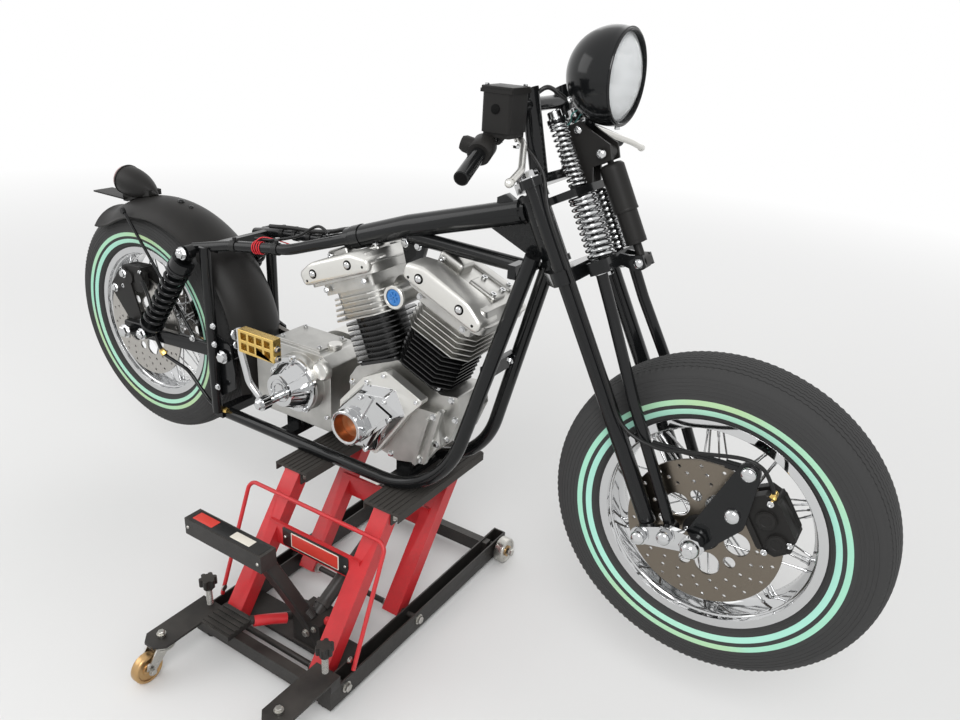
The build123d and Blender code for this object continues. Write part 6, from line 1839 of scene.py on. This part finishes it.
@dataclass
class Studio:
    """Pale floor, soft light and the photograph's camera, all in metres.

    Attributes:
        eye: The camera's place.
        right: The picture's right in the row frame.
        up: The picture's top in the row frame.
        focal: Focal length in pixels of a 960 pixel wide picture.
        reach: Half the width of the floor.
        fade: Distances from the middle where the floor starts and ends to turn white.
        aim: What the lamps point at.
    """

    eye: tuple[float, float, float] = (1.0888, -1.3584, 1.4114)
    right: tuple[float, float, float] = (0.8391, 0.5411, 0.0553)
    up: tuple[float, float, float] = (-0.2603, 0.3102, 0.9142)
    focal: float = 801.9
    reach: float = 60.0
    fade: tuple[float, float] = (1.5, 6.0)
    aim: tuple[float, float, float] = (0.0, 0.0, 0.6)

    @staticmethod
    def place(name: str, data: bpy.types.ID, place: Vector, turn: np.ndarray) -> bpy.types.Object:
        """Set an object of some data at a place, turned so that its axes are the columns."""
        item = bpy.data.objects.new(name, data)
        item.matrix_world = Matrix.Translation(place) @ Matrix(turn.tolist()).to_4x4()
        bpy.context.scene.collection.objects.link(item)
        return item

    def camera(self) -> None:
        """Set the camera where the photograph was taken from."""
        lens = bpy.data.cameras.new("camera")
        lens.sensor_width = 36.0
        lens.lens = 36.0 * self.focal / 960.0
        lens.clip_start = 0.01
        right = unit(self.right)
        back = unit(np.cross(right, self.up))
        turn = np.stack([right, np.cross(back, right), back], axis=1)
        bpy.context.scene.camera = self.place("camera", lens, self.eye, turn)

    def floor(self) -> None:
        """Lay the pale floor, which turns into the white backdrop far out.

        The share of plain white grows from 0 to 1 between the two distances of the fade.
        """
        mesh = bpy.data.meshes.new("floor")
        corners = [(x * self.reach, y * self.reach, 0) for x, y in ((-1, -1), (1, -1), (1, 1), (-1, 1))]
        mesh.from_pydata(corners, [], [(0, 1, 2, 3)])
        made = bpy.data.materials.new("pale_floor")
        made.use_nodes = True
        tree = ShaderTree(made.node_tree)
        shader = made.node_tree.nodes["Principled BSDF"]
        shader.inputs["Base Color"].default_value = (0.72, 0.72, 0.715, 1.0)
        shader.inputs["Roughness"].default_value = 0.7
        shader.inputs["Specular IOR Level"].default_value = 0.2
        away = tree.add("ShaderNodeVectorMath", operation="LENGTH")
        tree.join(tree.add("ShaderNodeTexCoord").outputs["Object"], away.inputs[0])
        blend = tree.add("ShaderNodeMixShader")
        tree.join(tree.remap(away.outputs["Value"], *self.fade, 0.0, 1.0), blend.inputs[0])
        tree.join(shader.outputs[0], blend.inputs[1])
        tree.join(tree.add("ShaderNodeEmission").outputs[0], blend.inputs[2])
        tree.join(blend.outputs[0], made.node_tree.nodes["Material Output"].inputs["Surface"])
        mesh.materials.append(made)
        plane = self.place("floor", mesh, ORIGIN, np.eye(3))

    def lamps(self) -> None:
        """Hang three soft area lamps round the object, each as place, width and watts."""
        rows = (
            ("key", (1.6, -2.6, 3.0), 1.6, 70.0),
            ("fill", (-2.6, -1.8, 2.4), 2.0, 24.0),
            ("back", (-0.4, 3.0, 2.6), 2.6, 14.0),
        )
        for name, place, size, power in rows:
            light = bpy.data.lights.new(name, "AREA")
            light.size = size
            light.energy = power
            back = unit(np.subtract(place, self.aim))[None]
            lamp = self.place(name, light, place, np.concatenate([*side_frames(back), back]).T)

    def world(self) -> None:
        """Set an even sky that camera, metal and glass see as white."""
        sky = bpy.data.worlds.new("sky")
        sky.use_nodes = True
        bpy.context.scene.world = sky
        tree = ShaderTree(sky.node_tree)
        backdrop = sky.node_tree.nodes["Background"]
        backdrop.inputs["Color"].default_value = (1.0, 1.0, 1.0, 1.0)
        path = tree.add("ShaderNodeLightPath").outputs
        seen = tree.math("MAXIMUM", path["Is Camera Ray"], path["Is Transmission Ray"])
        seen = tree.math("MAXIMUM", seen, path["Is Glossy Ray"])
        split = tree.add("ShaderNodeSeparateXYZ")
        tree.join(tree.add("ShaderNodeNewGeometry").outputs["Normal"], split.inputs[0])
        lit = tree.remap(tree.math("ABSOLUTE", split.outputs["Z"], 0.0), 0.0, 0.75, 0.55, 0.9)
        tree.join(tree.math("MAXIMUM", lit, seen), backdrop.inputs["Strength"])

    def build(self) -> None:
        """Set up the whole studio."""
        self.camera()
        self.floor()
        self.lamps()
        self.world()
        bpy.context.scene.view_settings.view_transform = "Standard"


def main() -> None:
    """Dress the frame, build every sub-assembly and set up the studio."""
    logging.basicConfig(level=logging.INFO, format="%(message)s")
    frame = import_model()
    shop = Workshop(frame)
    wheels = (Wheel(shop, End.FRONT, FRONT_DISC), Wheel(shop, End.REAR, REAR_DISC))
    for assembly in (*wheels, Fork(shop), Engine(shop), Rear(shop), Lift(shop)):
        assembly.build()
    for node in sorted(set(shop.nodes) - shop.dressed):
        shop.dress(node)
    Studio().build()


if __name__ == "__main__":
    main()
